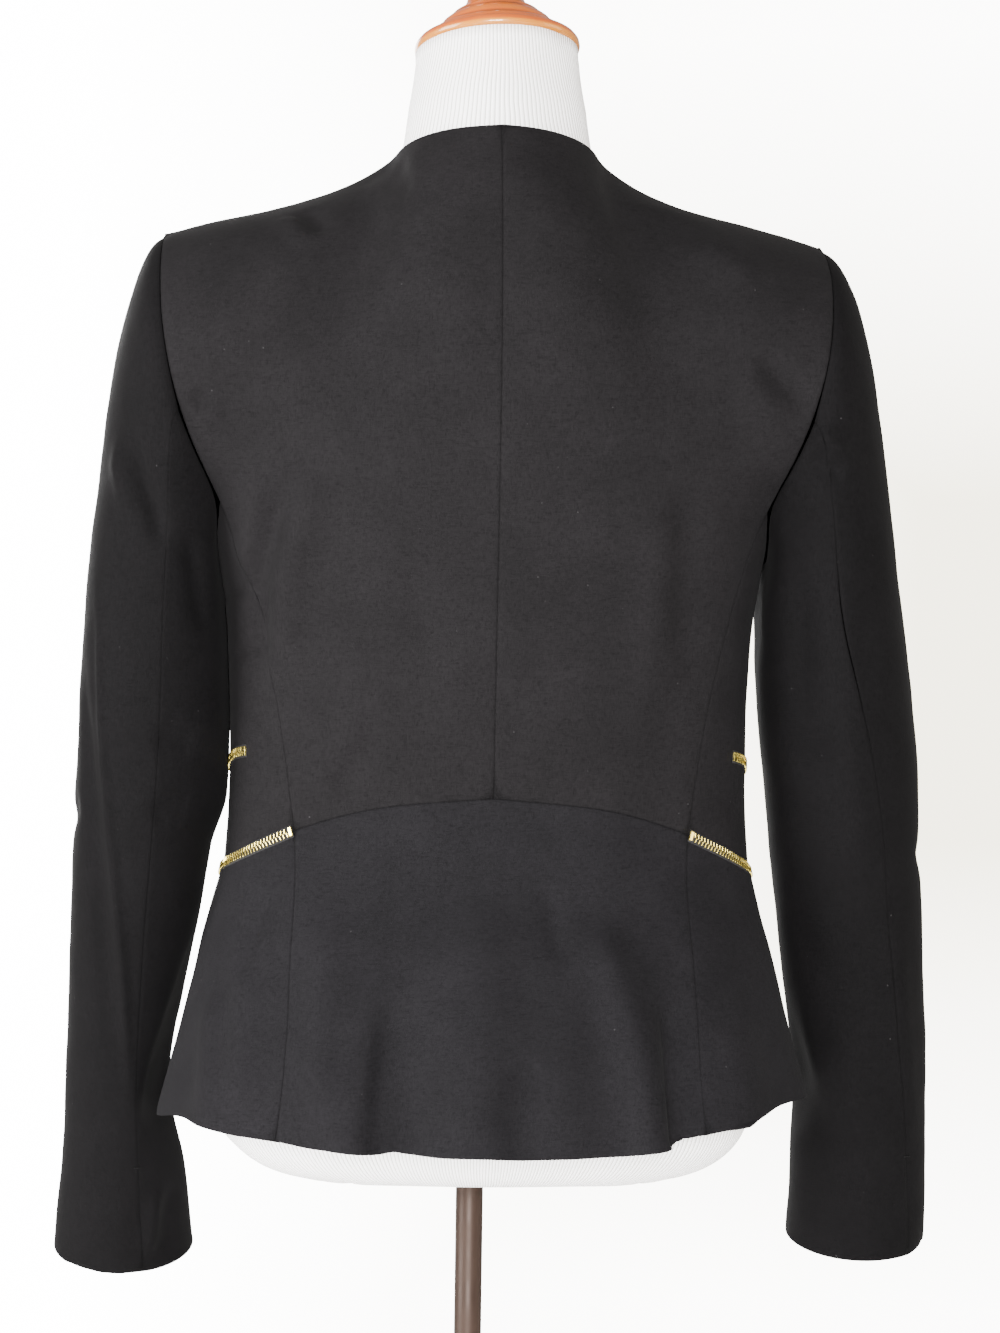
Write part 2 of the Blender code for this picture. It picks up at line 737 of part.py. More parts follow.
def hip_move(hip):
    """Moves a ring of the torso on to one of the hips' level sections."""

    def move(co):
        angle = math.degrees(math.atan2(co[0] / hip.half_width, co[1] / hip.back))
        x, y = superellipse(angle, hip.half_width, hip.back, hip.front)
        return np.array([x, y, hip.height])

    return move


def form_mesh(panels, normals):
    """The padded torso and neck, made from the blazer's own surface moved in."""
    mesh = bmesh.new()
    first, last = (0, 1), (-1, -2)
    trims = {
        "back_left": [last],
        "front_left": [first],
        "back_right": [first],
        "front_right": [last],
    }
    for name, grid in panels.items():
        add_skin(mesh, form_grid(grid, normals[name], trims.get(name, [])), True)
    bmesh.ops.remove_doubles(mesh, verts=mesh.verts, dist=FORM_MERGE)
    waist = boundary_loop(mesh, lambda co: co.z < ARMPIT_Z - WAIST_BELOW_ARMPIT)
    for hip in FORM_HIPS:
        waist = extruded_ring(mesh, waist, hip_move(hip))
    bmesh.ops.contextual_create(mesh, geom=waist)
    neck = boundary_loop(mesh, lambda co: co.z > ARMHOLE_Z and abs(co.x) < NECK_REACH_X)
    for step in range(1, NECK_ROWS + 1):
        neck = extruded_ring(mesh, neck, neck_move(step))
    bmesh.ops.contextual_create(mesh, geom=neck)
    for side in (1, -1):
        hole = boundary_loop(mesh, lambda co: side * co.x > NECK_REACH_X)
        plate = bmesh.ops.contextual_create(mesh, geom=hole)["faces"]
        bmesh.ops.poke(mesh, faces=plate)
    bmesh.ops.recalc_face_normals(mesh, faces=mesh.faces)
    return mesh


def main():
    for obj in list(bpy.data.objects):
        bpy.data.objects.remove(obj)

    cloth = finish_material("black_suiting", (0.030, 0.028, 0.031), 0.75)
    jersey = finish_material("white_jersey", (0.86, 0.85, 0.83), 0.85)
    wood = finish_material("varnished_wood", (0.60, 0.23, 0.08), 0.25)
    chrome = finish_material("chrome", (0.75, 0.74, 0.72), 0.08, 1.0)
    metal = finish_material("zip_gold", (0.72, 0.55, 0.20), 0.35, 1.0)
    enamel = finish_material("white_enamel", (0.80, 0.79, 0.77), 0.35)

    form_axis = bpy.data.objects.new("form_axis", None)
    form_axis.location = (FORM_SHIFT_X, 0, 0)
    bpy.context.scene.collection.objects.link(form_axis)

    back, side, front = (bodice_grid(panel) for panel in ("back", "side", "front"))
    bodice = {
        "back_left": back,
        "side_left": side,
        "front_left": front,
        "back_right": mirrored(back),
        "side_right": mirrored(side),
        "front_right": mirrored(front),
    }
    peplum = {"peplum_back": peplum_grid("whole back", PEPLUM_BACK_COLS, 1)}
    for name, sign in (("left", 1), ("right", -1)):
        peplum["peplum_side_" + name] = peplum_grid("side", PEPLUM_SIDE_COLS, sign)
        peplum["peplum_front_" + name] = peplum_grid("front", PEPLUM_FRONT_COLS, sign)
    normals = {}
    for group in (bodice, peplum):
        found = shared_normals(list(group.values()))
        normals.update(zip(group, found))
    for name, grid in {**bodice, **peplum}.items():
        place(name, wall_mesh(grid, normals[name], -WALL, 0, HALF_GAP), cloth, form_axis)

    loop = armhole(back, side, front)
    for name, table, sign in (("left", LEFT_SLEEVE, 1), ("right", RIGHT_SLEEVE, -1)):
        tube = sleeve_grid(loop, table)
        count = tube.shape[1]
        upper_columns = [c % count for c in range(FRONT_SEAM_COLUMN, count + BACK_SEAM_COLUMN + 1)]
        under_columns = list(range(BACK_SEAM_COLUMN, FRONT_SEAM_COLUMN + 1))
        halves = {
            "sleeve_upper_" + name: tube[:, upper_columns],
            "sleeve_under_" + name: tube[:, under_columns],
        }
        if sign < 0:
            halves = {key: mirrored(grid) for key, grid in halves.items()}
        for key, grid_normals in zip(halves, shared_normals(list(halves.values()))):
            place(key, wall_mesh(halves[key], grid_normals, -WALL, 0, HALF_GAP), cloth, form_axis)

    for name in ("left", "right"):
        panel, skirt = bodice["side_" + name], peplum["peplum_side_" + name]
        for key, grid in (
            ("zip_lower_" + name, lower_zip(panel, skirt)),
            ("zip_upper_" + name, upper_zip(panel, name == "right")),
        ):
            trim_normals = shared_normals([grid])[0]
            trim = wall_mesh(grid, trim_normals, ZIP_LIFT, ZIP_LIFT + ZIP_THICKNESS, 0.0)
            place(key, trim, metal, form_axis)

    place("form_body", form_mesh(bodice, normals), jersey, form_axis)
    cap_centre = (0, NECK_TOP_Y, NECK_TOP_Z + CAP_SEAT)
    place("neck_cap", lathe(CAP_PROFILE, CAP_SEGMENTS, CAP_TILT, cap_centre), wood, form_axis)
    pole_top = FORM_BOTTOM - POLE_SEAT
    pole_foot = HUB_HEIGHT + POLE_SEAT
    pole_profile = [(0, pole_foot), (POLE_RADIUS, pole_foot), (POLE_RADIUS, pole_top), (0, pole_top)]
    place("pole", lathe(pole_profile, POLE_SEGMENTS), chrome, None)
    place("base", lathe(BASE_PROFILE, BASE_SEGMENTS), enamel, None)


main()
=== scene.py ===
# %% [markdown]
# # A collarless blazer on a dress form
#
# The subject is a woman's tailored blazer, seen from behind on a white dress form with a
# turned wooden neck cap and a nickel pole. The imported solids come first, because they fix
# the place and the cut of every panel. This lesson then gives each panel the looks of real
# cloth: a thin shell, sunk seams, drag lines and flutes, a fine wool weave, metal zip
# trims, a ribbed jersey form and a plain pale studio.
#
# Real sizes are used all through. Metres, +Z up, and the blazer's back faces +Y.

# %% Load the frame
import math
from collections import namedtuple

import bmesh
import bpy
import numpy as np
from mathutils import Matrix, Vector, noise
from mathutils.bvhtree import BVHTree


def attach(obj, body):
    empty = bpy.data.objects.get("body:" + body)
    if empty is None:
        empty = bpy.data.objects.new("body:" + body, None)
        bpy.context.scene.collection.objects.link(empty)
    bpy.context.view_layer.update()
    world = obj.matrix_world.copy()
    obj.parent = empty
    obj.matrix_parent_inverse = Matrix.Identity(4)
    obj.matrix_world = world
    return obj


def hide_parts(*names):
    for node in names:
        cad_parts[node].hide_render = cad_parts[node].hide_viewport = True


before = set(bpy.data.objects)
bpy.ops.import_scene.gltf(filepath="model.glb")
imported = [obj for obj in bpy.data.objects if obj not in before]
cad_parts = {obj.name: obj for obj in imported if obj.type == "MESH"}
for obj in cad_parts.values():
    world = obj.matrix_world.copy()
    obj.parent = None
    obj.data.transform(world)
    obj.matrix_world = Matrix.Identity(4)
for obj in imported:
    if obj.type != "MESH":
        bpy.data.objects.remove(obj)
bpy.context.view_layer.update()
FORM_X = -0.0076
print("nodes:", len(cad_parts))

# %% [markdown]
# ## The camera
#
# The photograph is taken from straight behind, about three degrees to the wearer's left,
# at chest height, with the picture turned by less than a degree. A 50 mm lens on a 24 mm
# high sensor gives the photograph's perspective from 1.7 m away.

# %% Camera
CAMERA_TURN = math.radians(3.0)
CAMERA_ROLL = math.radians(0.8)
CAMERA_REACH = 1.70
CAMERA_AIM = Vector((-0.0142, 0.0, 1.113))
SENSOR_HEIGHT = 24.0
FOCAL_LENGTH = 50.18

toward_camera = Vector((math.sin(CAMERA_TURN), math.cos(CAMERA_TURN), 0.0))
camera_data = bpy.data.cameras.new("camera")
camera_data.sensor_fit = "VERTICAL"
camera_data.sensor_height = SENSOR_HEIGHT
camera_data.lens = FOCAL_LENGTH
camera = bpy.data.objects.new("camera", camera_data)
level = toward_camera.to_track_quat("Z", "Y").to_matrix().to_4x4()
camera.matrix_world = (
    Matrix.Translation(CAMERA_AIM + CAMERA_REACH * toward_camera)
    @ level
    @ Matrix.Rotation(CAMERA_ROLL, 4, "Z")
)
bpy.context.scene.collection.objects.link(camera)
bpy.context.scene.camera = camera
print("camera at", [round(v, 3) for v in camera.matrix_world.translation])

# %% [markdown]
# ## Shader helpers
#
# Each finish is a Principled material. What varies over its surface, such as a weave, a
# stain or a grain, comes from a node group of its own, so that one group can serve several
# materials. Constants sit on the shader's own sockets.

# %% Shader helpers
COLOR, NUMBER = "NodeSocketColor", "NodeSocketFloat"


def new_group(name, inputs, outputs):
    """A shader node group with float sockets in and the named sockets out."""
    group = bpy.data.node_groups.new(name, "ShaderNodeTree")
    for label, value in inputs:
        made = group.interface.new_socket(label, in_out="INPUT", socket_type=NUMBER)
        made.default_value = value
    for label, kind in outputs:
        group.interface.new_socket(label, in_out="OUTPUT", socket_type=kind)
    group.nodes.new("NodeGroupInput").name = "in"
    group.nodes.new("NodeGroupOutput").name = "out"
    return group


def node(tree, kind, links=(), **settings):
    """A node with its settings made and its inputs linked or set, by name or number."""
    made = tree.nodes.new(kind)
    for key, value in settings.items():
        setattr(made, key, value)
    for socket, value in links:
        if isinstance(value, bpy.types.NodeSocket):
            tree.links.new(value, made.inputs[socket])
        else:
            made.inputs[socket].default_value = value
    return made


def ramp(tree, factor, stops):
    """A colour ramp with its stops as position and grey or colour."""
    made = node(tree, "ShaderNodeValToRGB", [("Fac", factor)])
    line = made.color_ramp
    while len(line.elements) < len(stops):
        line.elements.new(0.5)
    for element, (position, color) in zip(line.elements, stops):
        element.position = position
        element.color = (*color, 1) if isinstance(color, tuple) else (color, color, color, 1)
    return made.outputs["Color"]


def object_point(tree, scale=(1, 1, 1), turn=(0, 0, 0)):
    """The object's own coordinates, scaled and turned."""
    place = node(tree, "ShaderNodeTexCoord")
    return node(
        tree,
        "ShaderNodeMapping",
        [("Vector", place.outputs["Object"]), ("Scale", scale), ("Rotation", turn)],
    ).outputs["Vector"]


def principled(name, **settings):
    """A new material and its shader, with the shader's own sockets set."""
    material = bpy.data.materials.new(name)
    material.use_nodes = True
    shader = material.node_tree.nodes["Principled BSDF"]
    for key, value in settings.items():
        shader.inputs[key.replace("_", " ").title().replace("Ior", "IOR")].default_value = value
    return material, material.node_tree, shader


def add_group(tree, group, **values):
    made = tree.nodes.new("ShaderNodeGroup")
    made.node_tree = group
    for key, value in values.items():
        made.inputs[key].default_value = value
    return made


def bump(tree, height, distance, strength=1.0):
    return node(
        tree,
        "ShaderNodeBump",
        [("Height", height), ("Distance", distance), ("Strength", strength)],
    ).outputs["Normal"]


# %% [markdown]
# Most steps inside a finish are one of four: arithmetic, a blend of two colours, a cloudy
# noise on the piece's own coordinates, or a value brought from one range to another. A short
# function for each keeps the finishes below readable.

# %% Steps of a finish
def calc(tree, operation, *values):
    """One step of arithmetic on numbers or sockets."""
    return node(tree, "ShaderNodeMath", enumerate(values), operation=operation).outputs[0]


def mixed(tree, share, low, high, blend="MIX"):
    """Two colours, mixed by a share or blended one over the other."""
    return node(
        tree, "ShaderNodeMix", [(0, share), (6, low), (7, high)], data_type="RGBA", blend_type=blend
    ).outputs[2]


def multiplied(tree, color, factor):
    return mixed(tree, 1.0, color, factor, "MULTIPLY")


def cloudy(tree, scale, detail, stretch=(1, 1, 1), roughness=0.5):
    """Noise on the piece's own coordinates, with its axes stretched."""
    where = [("Vector", object_point(tree, stretch)), ("Scale", scale)]
    return node(
        tree, "ShaderNodeTexNoise", where + [("Detail", detail), ("Roughness", roughness)]
    ).outputs["Fac"]


def ranged(tree, value, **limits):
    """A value brought from the range from_min to from_max into to_min to to_max."""
    named = [(key.replace("_", " ").title(), limit) for key, limit in limits.items()]
    return node(tree, "ShaderNodeMapRange", [("Value", value)] + named).outputs["Result"]


def feed(tree, target, **sources):
    """Links sockets to a node's inputs, whose names have underscores for spaces."""
    for label, source in sources.items():
        tree.links.new(source, target.inputs[label.replace("_", " ")])


# %% [markdown]
# ## The suiting
#
# The cloth is a fine, smooth worsted in near black with a faint violet cast where the
# light falls on it. Its threads are about 0.45 mm apart, so from the camera they only
# break up the light a little. The yarn is spun from two near blacks, which gives a faint
# mottle 2 mm long. There is also a slow unevenness over a few centimetres
# and sparse specks of pale lint, under 1 mm across. Wool has almost no gloss, so the
# specular level and the sheen are low, and the shoulders stay dark under a high light.
#
# A pressed seam is a narrow ditch that little light gets into, so the cloth carries a mask
# of its seams, and the weave darkens there.
#
# The sleeves carry a painted shade: their colour is about half the bodice's, standing in
# for the weaker light that falls on them. The peplum, cut across, looks cooler. One group
# serves all three, with a painted shade and a coolness of its own for each.

# %% Suiting group
COOLNESS = (0.985, 1.0, 1.05, 1)
LINT = (0.022, 0.021, 0.022, 1)
SEAM_SHADE = 0.60
WORSTED = [(0.30, (0.0045, 0.0042, 0.0045)), (0.70, (0.0058, 0.0054, 0.0058))]


def suiting_group():
    group = new_group(
        "suiting",
        [("Thread", 1.0), ("Shade", 1.0), ("Cool", 0.0)],
        [("Color", COLOR), ("Roughness", NUMBER), ("Height", NUMBER)],
    )
    given = group.nodes["in"].outputs
    warp = cloudy(group, 1.0, 1.0, stretch=(2400, 2400, 260))
    weft = cloudy(group, 1.0, 1.0, stretch=(230, 230, 2200))
    weave = calc(group, "ADD", warp, weft)
    slow = cloudy(group, 24.0, 3.0, roughness=0.55)
    melange = cloudy(group, 1.0, 2.0, stretch=(620, 620, 380), roughness=0.7)
    color = ramp(group, slow, WORSTED)
    color = multiplied(group, color, ramp(group, weave, [(0.78, 0.80), (1.22, 1.16)]))
    color = multiplied(group, color, ramp(group, melange, [(0.34, 0.89), (0.66, 1.12)]))
    color = mixed(group, given["Cool"], color, multiplied(group, color, COOLNESS))
    # Painted shade: the sleeves' colour is darkened here.
    color = multiplied(group, color, given["Shade"])
    seam = node(group, "ShaderNodeAttribute", attribute_name="seam_mask").outputs["Fac"]
    color = multiplied(group, color, ramp(group, seam, [(0.55, 1.0), (0.97, SEAM_SHADE)]))
    fleck = node(
        group,
        "ShaderNodeTexVoronoi",
        [("Vector", object_point(group)), ("Scale", 95.0), ("Randomness", 1.0)],
        feature="F1",
    ).outputs["Distance"]
    near = ramp(group, fleck, [(0.025, 1.0), (0.055, 0.0)])
    chosen = ramp(group, cloudy(group, 310.0, 0.0), [(0.58, 0.0), (0.64, 1.0)])
    color = mixed(group, calc(group, "MULTIPLY", near, chosen), color, LINT)
    feed(
        group,
        group.nodes["out"],
        Color=color,
        Roughness=ramp(group, slow, [(0.25, 0.74), (0.75, 0.84)]),
        Height=calc(group, "MULTIPLY", weave, given["Thread"]),
    )
    return group


suiting = suiting_group()
print("suiting nodes:", len(suiting.nodes))

# %% [markdown]
# The three materials differ in painted shade and coolness alone. Their bump is a tenth of a
# millimetre deep, as a worsted's surface is.

# %% Suiting materials
def suiting_material(name, shade, cool):
    material, tree, shader = principled(
        name, sheen_weight=0.006, sheen_roughness=0.5, specular_ior_level=0.025
    )
    woven = add_group(tree, suiting, Shade=shade, Cool=cool).outputs
    relief = bump(tree, woven["Height"], 0.00012, 0.6)
    feed(tree, shader, Base_Color=woven["Color"], Roughness=woven["Roughness"], Normal=relief)
    return material


# The sleeves' 0.48 is a painted shade for the weaker light on them.
SUITING = {
    "bodice": suiting_material("suiting_bodice", 1.0, 0.0),
    "peplum": suiting_material("suiting_peplum", 1.0, 1.0),
    "sleeve": suiting_material("suiting_sleeve_painted_shade", 0.48, 0.2),
}
print("suiting materials:", sorted(SUITING))

# %% [markdown]
# ## From a solid to a cloth skin
#
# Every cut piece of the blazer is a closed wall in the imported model: an outer skin, an
# inner skin and a rim. Cloth needs the outer skin alone. Its triangles are loose, so the
# corners are merged first. Every triangle of the rim has a side as short as the wall is
# thick, and no triangle of a skin has. Without the rim, the two skins come apart, and the
# outer one is the one that looks away from the body.

# %% Outer skins
WELD = 0.00001
RIM_WIDTH = 0.0025


def merged_copy(name):
    mesh = bmesh.new()
    mesh.from_mesh(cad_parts[name].data)
    bmesh.ops.remove_doubles(mesh, verts=mesh.verts, dist=WELD)
    bmesh.ops.recalc_face_normals(mesh, faces=mesh.faces)
    return mesh


def face_groups(mesh):
    """The faces without the rim, in the groups that hang together."""
    seen = {f for f in mesh.faces if min(e.calc_length() for e in f.edges) < RIM_WIDTH}
    groups = []
    for first in mesh.faces:
        if first in seen:
            continue
        seen.add(first)
        group, todo = [], [first]
        while todo:
            face = todo.pop()
            group.append(face)
            for edge in face.edges:
                for other in edge.link_faces:
                    if other not in seen:
                        seen.add(other)
                        todo.append(other)
        groups.append(group)
    return groups


def outer_skin(name, axis):
    """The wall's outer skin alone: the group that looks furthest away from a vertical axis."""
    mesh = merged_copy(name)

    def outwardness(group):
        total = 0.0
        for face in group:
            away = face.calc_center_median() - Vector((*axis, 0))
            total += face.calc_area() * (face.normal.x * away.x + face.normal.y * away.y)
        return total

    keep = set(max(face_groups(mesh), key=outwardness))
    bmesh.ops.delete(mesh, geom=[f for f in mesh.faces if f not in keep], context="FACES")
    return mesh


# %% [markdown]
# Each skin is a regular grid whose quads were cut along one diagonal. A corner triangle of
# the grid has one inner edge, and that edge is a diagonal. From there, the diagonals of all
# the neighbours follow, and dissolving them gives the quads back, so that subdivision runs
# along the grain of the cloth.

# %% Grid quads
def diagonal_of(face, shared, diagonal):
    """The diagonal of a triangle whose neighbour's diagonal is known."""
    third = next(v for v in face.verts if v not in shared.verts)
    far = next(v for v in shared.verts if v not in diagonal.verts)
    return next(e for e in face.edges if third in e.verts and far in e.verts)


def dissolve_diagonals(mesh):
    corner = next(f for f in mesh.faces if sum(e.is_boundary for e in f.edges) == 2)
    found = {corner: next(e for e in corner.edges if not e.is_boundary)}
    todo = [corner]
    while todo:
        face = todo.pop()
        diagonal = found[face]
        for edge in face.edges:
            for other in edge.link_faces:
                if other in found:
                    continue
                same = edge == diagonal
                found[other] = diagonal if same else diagonal_of(other, edge, diagonal)
                todo.append(other)
    diagonals = [e for e in mesh.edges if any(found[f] == e for f in e.link_faces)]
    bmesh.ops.dissolve_edges(mesh, edges=diagonals, use_verts=False)


# %% [markdown]
# The torso turns about the form's middle, and each sleeve about its own upright line.

# %% Skins
SLEEVE_AXES = {"left": (0.2044, -0.025), "right": (-0.2296, -0.025)}


def side_of(name):
    return name.split("_")[-1]


def body_axis(name):
    return SLEEVE_AXES[side_of(name)] if name.startswith("sleeve") else (FORM_X, 0.0)


PARTS = ("back", "side", "front", "peplum", "sleeve")
CLOTH = [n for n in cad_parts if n.split("_")[0] in PARTS]
skins = {}
for name in CLOTH:
    skins[name] = outer_skin(name, body_axis(name))
    dissolve_diagonals(skins[name])
    sides = {len(f.verts) for f in skins[name].faces}
    print(name, len(skins[name].faces), "faces with", sides, "sides")

# %% [markdown]
# ## Folds placed one by one
#
# A pressed jacket on a form has few folds, and each has a cause. The upper back pulls
# short drag lines into both armholes. Long soft ridges run from the shoulder blades to
# the side-back seams. The peplum is cut as part of a circle, so its extra hem length stands
# in flutes that die out toward the waist. The left sleeve keeps a pressed line from the
# elbow to the vent. The front, which the camera doesn't see, gets the same kinds of folds.
#
# Each row is half a width, a depth and a line of points, all in millimetres. A depth above
# zero is a ridge and below zero a trough, and one gain scales all the depths.

# %% Fold table
FOLDS = {
    "bodice": [
        (5, -1.6, [(172, 71, 1260), (166, 73, 1264), (158, 75, 1269)]),
        (7, 1.1, [(170, 69, 1252), (163, 72, 1258), (153, 75, 1263)]),
        (12, 2.7, [(90, 89, 1231), (106, 79, 1196), (116, 69, 1166), (116, 62, 1127),
            (116, 58, 1092)]),
        (9, -2.6, [(107, 83, 1226), (124, 68, 1188), (130, 55, 1156), (129, 52, 1127),
            (131, 46, 1097)]),
        (8, 1.8, [(130, 73, 1225), (137, 59, 1191), (141, 46, 1162)]),
        (4, -1.2, [(154, 5, 1151), (145, 38, 1154), (137, 51, 1160)]),
        (4, -1, [(146, 25, 1115), (139, 40, 1121), (129, 52, 1124)]),
        (12, -0.8, [(41, 94, 1185), (37, 88, 1139), (29, 83, 1093)]),
        (9, 1, [(70, 76, 1083), (85, 70, 1062), (101, 64, 1038)]),
        (8, -0.9, [(57, 78, 1080), (70, 73, 1057), (88, 69, 1033)]),
        (9, -1.7, [(-155, 78, 1302), (-168, 77, 1289), (-182, 73, 1276), (-192, 71, 1263)]),
        (11, 1.1, [(-147, 79, 1287), (-162, 77, 1273), (-179, 70, 1256)]),
        (12, -1.6, [(-115, 85, 1229), (-121, 76, 1177), (-120, 69, 1130), (-118, 66, 1095)]),
        (13, 0.9, [(-96, 92, 1228), (-102, 83, 1176), (-101, 76, 1130), (-99, 73, 1089)]),
        (7, -2, [(109, 33, 1385), (103, 47, 1376), (96, 59, 1364)]),
        (8, 1.1, [(119, 37, 1380), (111, 56, 1368), (106, 65, 1356)]),
        (8, -1, [(53, 26, 1416), (50, 55, 1398), (49, 70, 1381)]),
        (9, 0.9, [(64, 14, 1407), (60, 42, 1389), (56, 71, 1369)]),
        (17, -1.6, [(-92, 36, 1390), (-107, 58, 1366), (-125, 72, 1340), (-146, 74, 1330)]),
        (14, 1, [(-121, 53, 1372), (-142, 64, 1353), (-166, 65, 1343)]),
        (9, -1.6, [(150, -76, 1262), (128, -91, 1245), (108, -104, 1232)]),
        (10, 1.2, [(152, -72, 1244), (130, -90, 1226), (112, -104, 1210)]),
        (8, -1.5, [(-163, -78, 1270), (-143, -91, 1250), (-122, -104, 1240)]),
        (10, 1.1, [(-165, -76, 1252), (-146, -90, 1232), (-126, -104, 1220)]),
        (8, -1.2, [(118, -61, 1060), (90, -76, 1050), (58, -86, 1046)]),
        (9, 1, [(116, -62, 1038), (88, -78, 1028), (60, -86, 1026)]),
        (8, -1.2, [(-130, -65, 1066), (-104, -76, 1052), (-78, -84, 1050)]),
        (9, 1, [(-128, -64, 1044), (-102, -78, 1032), (-80, -85, 1030)]),
        (9, -1.1, [(160, -51, 1345), (140, -73, 1318), (126, -86, 1290)]),
        (9, -1.3, [(-170, -58, 1340), (-152, -76, 1312), (-140, -88, 1284)]),
    ],
    "peplum": [
        (8, -1.6, [(122, 62, 984), (129, 66, 963), (136, 73, 939)]),
        (12, 1.3, [(132, 64, 963), (136, 84, 918), (138, 102, 875)]),
        (12, 1.3, [(154, 58, 924), (158, 71, 891), (158, 95, 857)]),
        (9, -1, [(146, 62, 939), (148, 83, 901), (148, 99, 863)]),
        (9, -2, [(48, 113, 931), (54, 125, 904), (56, 136, 875), (58, 143, 844)]),
        (14, 2.4, [(81, 82, 982), (89, 101, 935), (93, 117, 892), (81, 139, 847)]),
        (17, 1.9, [(-4, 92, 984), (0, 124, 924), (3, 150, 861)]),
        (8, -1.1, [(-39, 88, 990), (-41, 96, 972), (-44, 106, 953)]),
        (12, -1.9, [(-27, 137, 895), (-23, 146, 871), (-21, 152, 847)]),
        (13, 2.7, [(-62, 91, 976), (-75, 108, 940), (-86, 123, 905), (-93, 135, 873),
            (-96, 142, 846)]),
        (9, -2, [(-106, 101, 931), (-109, 114, 887), (-111, 128, 848)]),
        (9, -0.8, [(35, 80, 1019), (0, 82, 1023), (-40, 81, 1022)]),
        (13, 1.6, [(80, -100, 940), (90, -109, 900), (98, -119, 855)]),
        (10, -1.8, [(52, -110, 930), (56, -118, 895), (58, -125, 850)]),
        (13, 1.6, [(-92, -100, 945), (-104, -109, 900), (-112, -119, 855)]),
        (10, -1.8, [(-64, -111, 930), (-70, -118, 895), (-74, -125, 850)]),
    ],
    "sleeve_left": [
        (3.6, 1, [(230, 29, 1182), (226, 41, 1137), (224, 42, 1092), (216, 36, 987),
            (210, 23, 917), (207, 7, 860), (206, -4, 820)]),
        (7, -1.5, [(236, 21, 1125), (233, 30, 1066), (225, 30, 983), (220, 20, 916),
            (215, 6, 854)]),
        (6, -2.6, [(211, 53, 1250), (205, 60, 1234), (196, 63, 1207), (185, 61, 1177)]),
        (8, 1.4, [(218, 42, 1244), (212, 52, 1219), (204, 58, 1190)]),
        (7, -1.4, [(173, 59, 1196), (168, 51, 1164), (162, 43, 1126)]),
        (9, -1.1, [(195, 51, 1064), (181, 49, 1068), (166, 39, 1062)]),
        (8, -0.9, [(196, 45, 1022), (182, 42, 1028), (170, 32, 1024)]),
        (5, 1.6, [(196, -29, 745), (194, -25, 764), (191, -20, 792)]),
        (7, -1.2, [(185, -37, 741), (183, -33, 764), (182, -29, 794)]),
        (8, -1.8, [(184, -52, 985), (202, -59, 978), (222, -53, 990)]),
        (8, -1.5, [(184, -54, 948), (204, -64, 938), (228, -55, 948)]),
        (8, 1.2, [(186, -54, 966), (204, -62, 958), (224, -55, 968)]),
        (8, -1.4, [(186, -62, 1230), (198, -56, 1200), (204, -54, 1165)]),
        (9, 1, [(234, -10, 1180), (239, -14, 1090), (242, -22, 1000)]),
        (9, -1, [(243, -40, 930), (246, -46, 870), (251, -56, 810)]),
        (8, -1.1, [(236, 22, 1030), (243, 0, 1018), (240, -24, 1022)]),
        (22, 4, [(153, 0, 1225), (154, -1, 1150), (155, -3, 1080)]),
        (22, 2.9, [(155, -2, 1115), (156, -4, 1055), (160, -8, 1000)]),
    ],
    "sleeve_right": [
        (15, 1.6, [(-208, 64, 1196), (-213, 61, 1143), (-218, 55, 1084), (-223, 48, 1024),
            (-230, 37, 969)]),
        (7, -1.4, [(-190, 66, 1243), (-200, 68, 1234), (-215, 66, 1228)]),
        (7, 1.2, [(-194, 69, 1256), (-203, 70, 1247), (-217, 66, 1242)]),
        (9, -1.3, [(-189, 55, 1179), (-191, 52, 1131), (-194, 45, 1078)]),
        (9, -0.9, [(-188, 34, 1052), (-201, 46, 1060), (-219, 51, 1053)]),
        (12, -0.9, [(-209, 14, 913), (-215, 3, 862), (-221, -11, 805)]),
        (8, 0.9, [(-252, 33, 976), (-262, 15, 901), (-274, -10, 818)]),
        (8, -1.7, [(-204, -50, 1000), (-222, -58, 990), (-244, -56, 996)]),
        (8, -1.5, [(-210, -54, 958), (-230, -63, 946), (-252, -59, 954)]),
        (8, 1.1, [(-208, -53, 980), (-226, -60, 968), (-248, -57, 974)]),
        (8, -1.3, [(-200, -63, 1235), (-214, -57, 1205), (-222, -55, 1170)]),
        (10, 1, [(-254, 6, 1190), (-266, 0, 1100), (-275, -8, 1010)]),
        (9, -1, [(-279, -30, 935), (-283, -40, 875), (-288, -52, 815)]),
        (8, -1.1, [(-268, 20, 1010), (-275, 0, 1000), (-273, -22, 1006)]),
    ],
}
Crease = namedtuple("Crease", "piece half_width depth line")
CREASES = [
    Crease(piece, width / 1000, depth / 1000, np.array(line) / 1000)
    for piece, rows in FOLDS.items()
    for width, depth, line in rows
]
print("folds:", len(CREASES))

# %% [markdown]
# A fold pushes the cloth out or in by a bell curve across its line. It fades in along the
# first third of the line and out along the last. On the peplum it runs on into the hem.

# %% Folds
def along(line, points):
    """How far each point is from a line, and how far along it its foot lies, 0 to 1."""
    line = np.array(line, float)
    steps = np.linalg.norm(np.diff(line, axis=0), axis=1)
    starts = np.concatenate([[0.0], np.cumsum(steps)])
    best = np.full(len(points), 1e9)
    share = np.zeros(len(points))
    for i, step in enumerate(steps):
        direction = (line[i + 1] - line[i]) / step
        t = np.clip((points - line[i]) @ direction, 0, step)
        gap = np.linalg.norm(points - line[i] - t[:, None] * direction, axis=1)
        nearer = gap < best
        best[nearer] = gap[nearer]
        share[nearer] = (starts[i] + t[nearer]) / starts[-1]
    return best, share


END_FADE = 0.30
FOLD_GAIN = 2.1


def family(name):
    """The rows of the fold table that a piece follows."""
    group = name.split("_")[0]
    if group == "sleeve":
        return "sleeve_" + side_of(name)
    return "peplum" if group == "peplum" else "bodice"


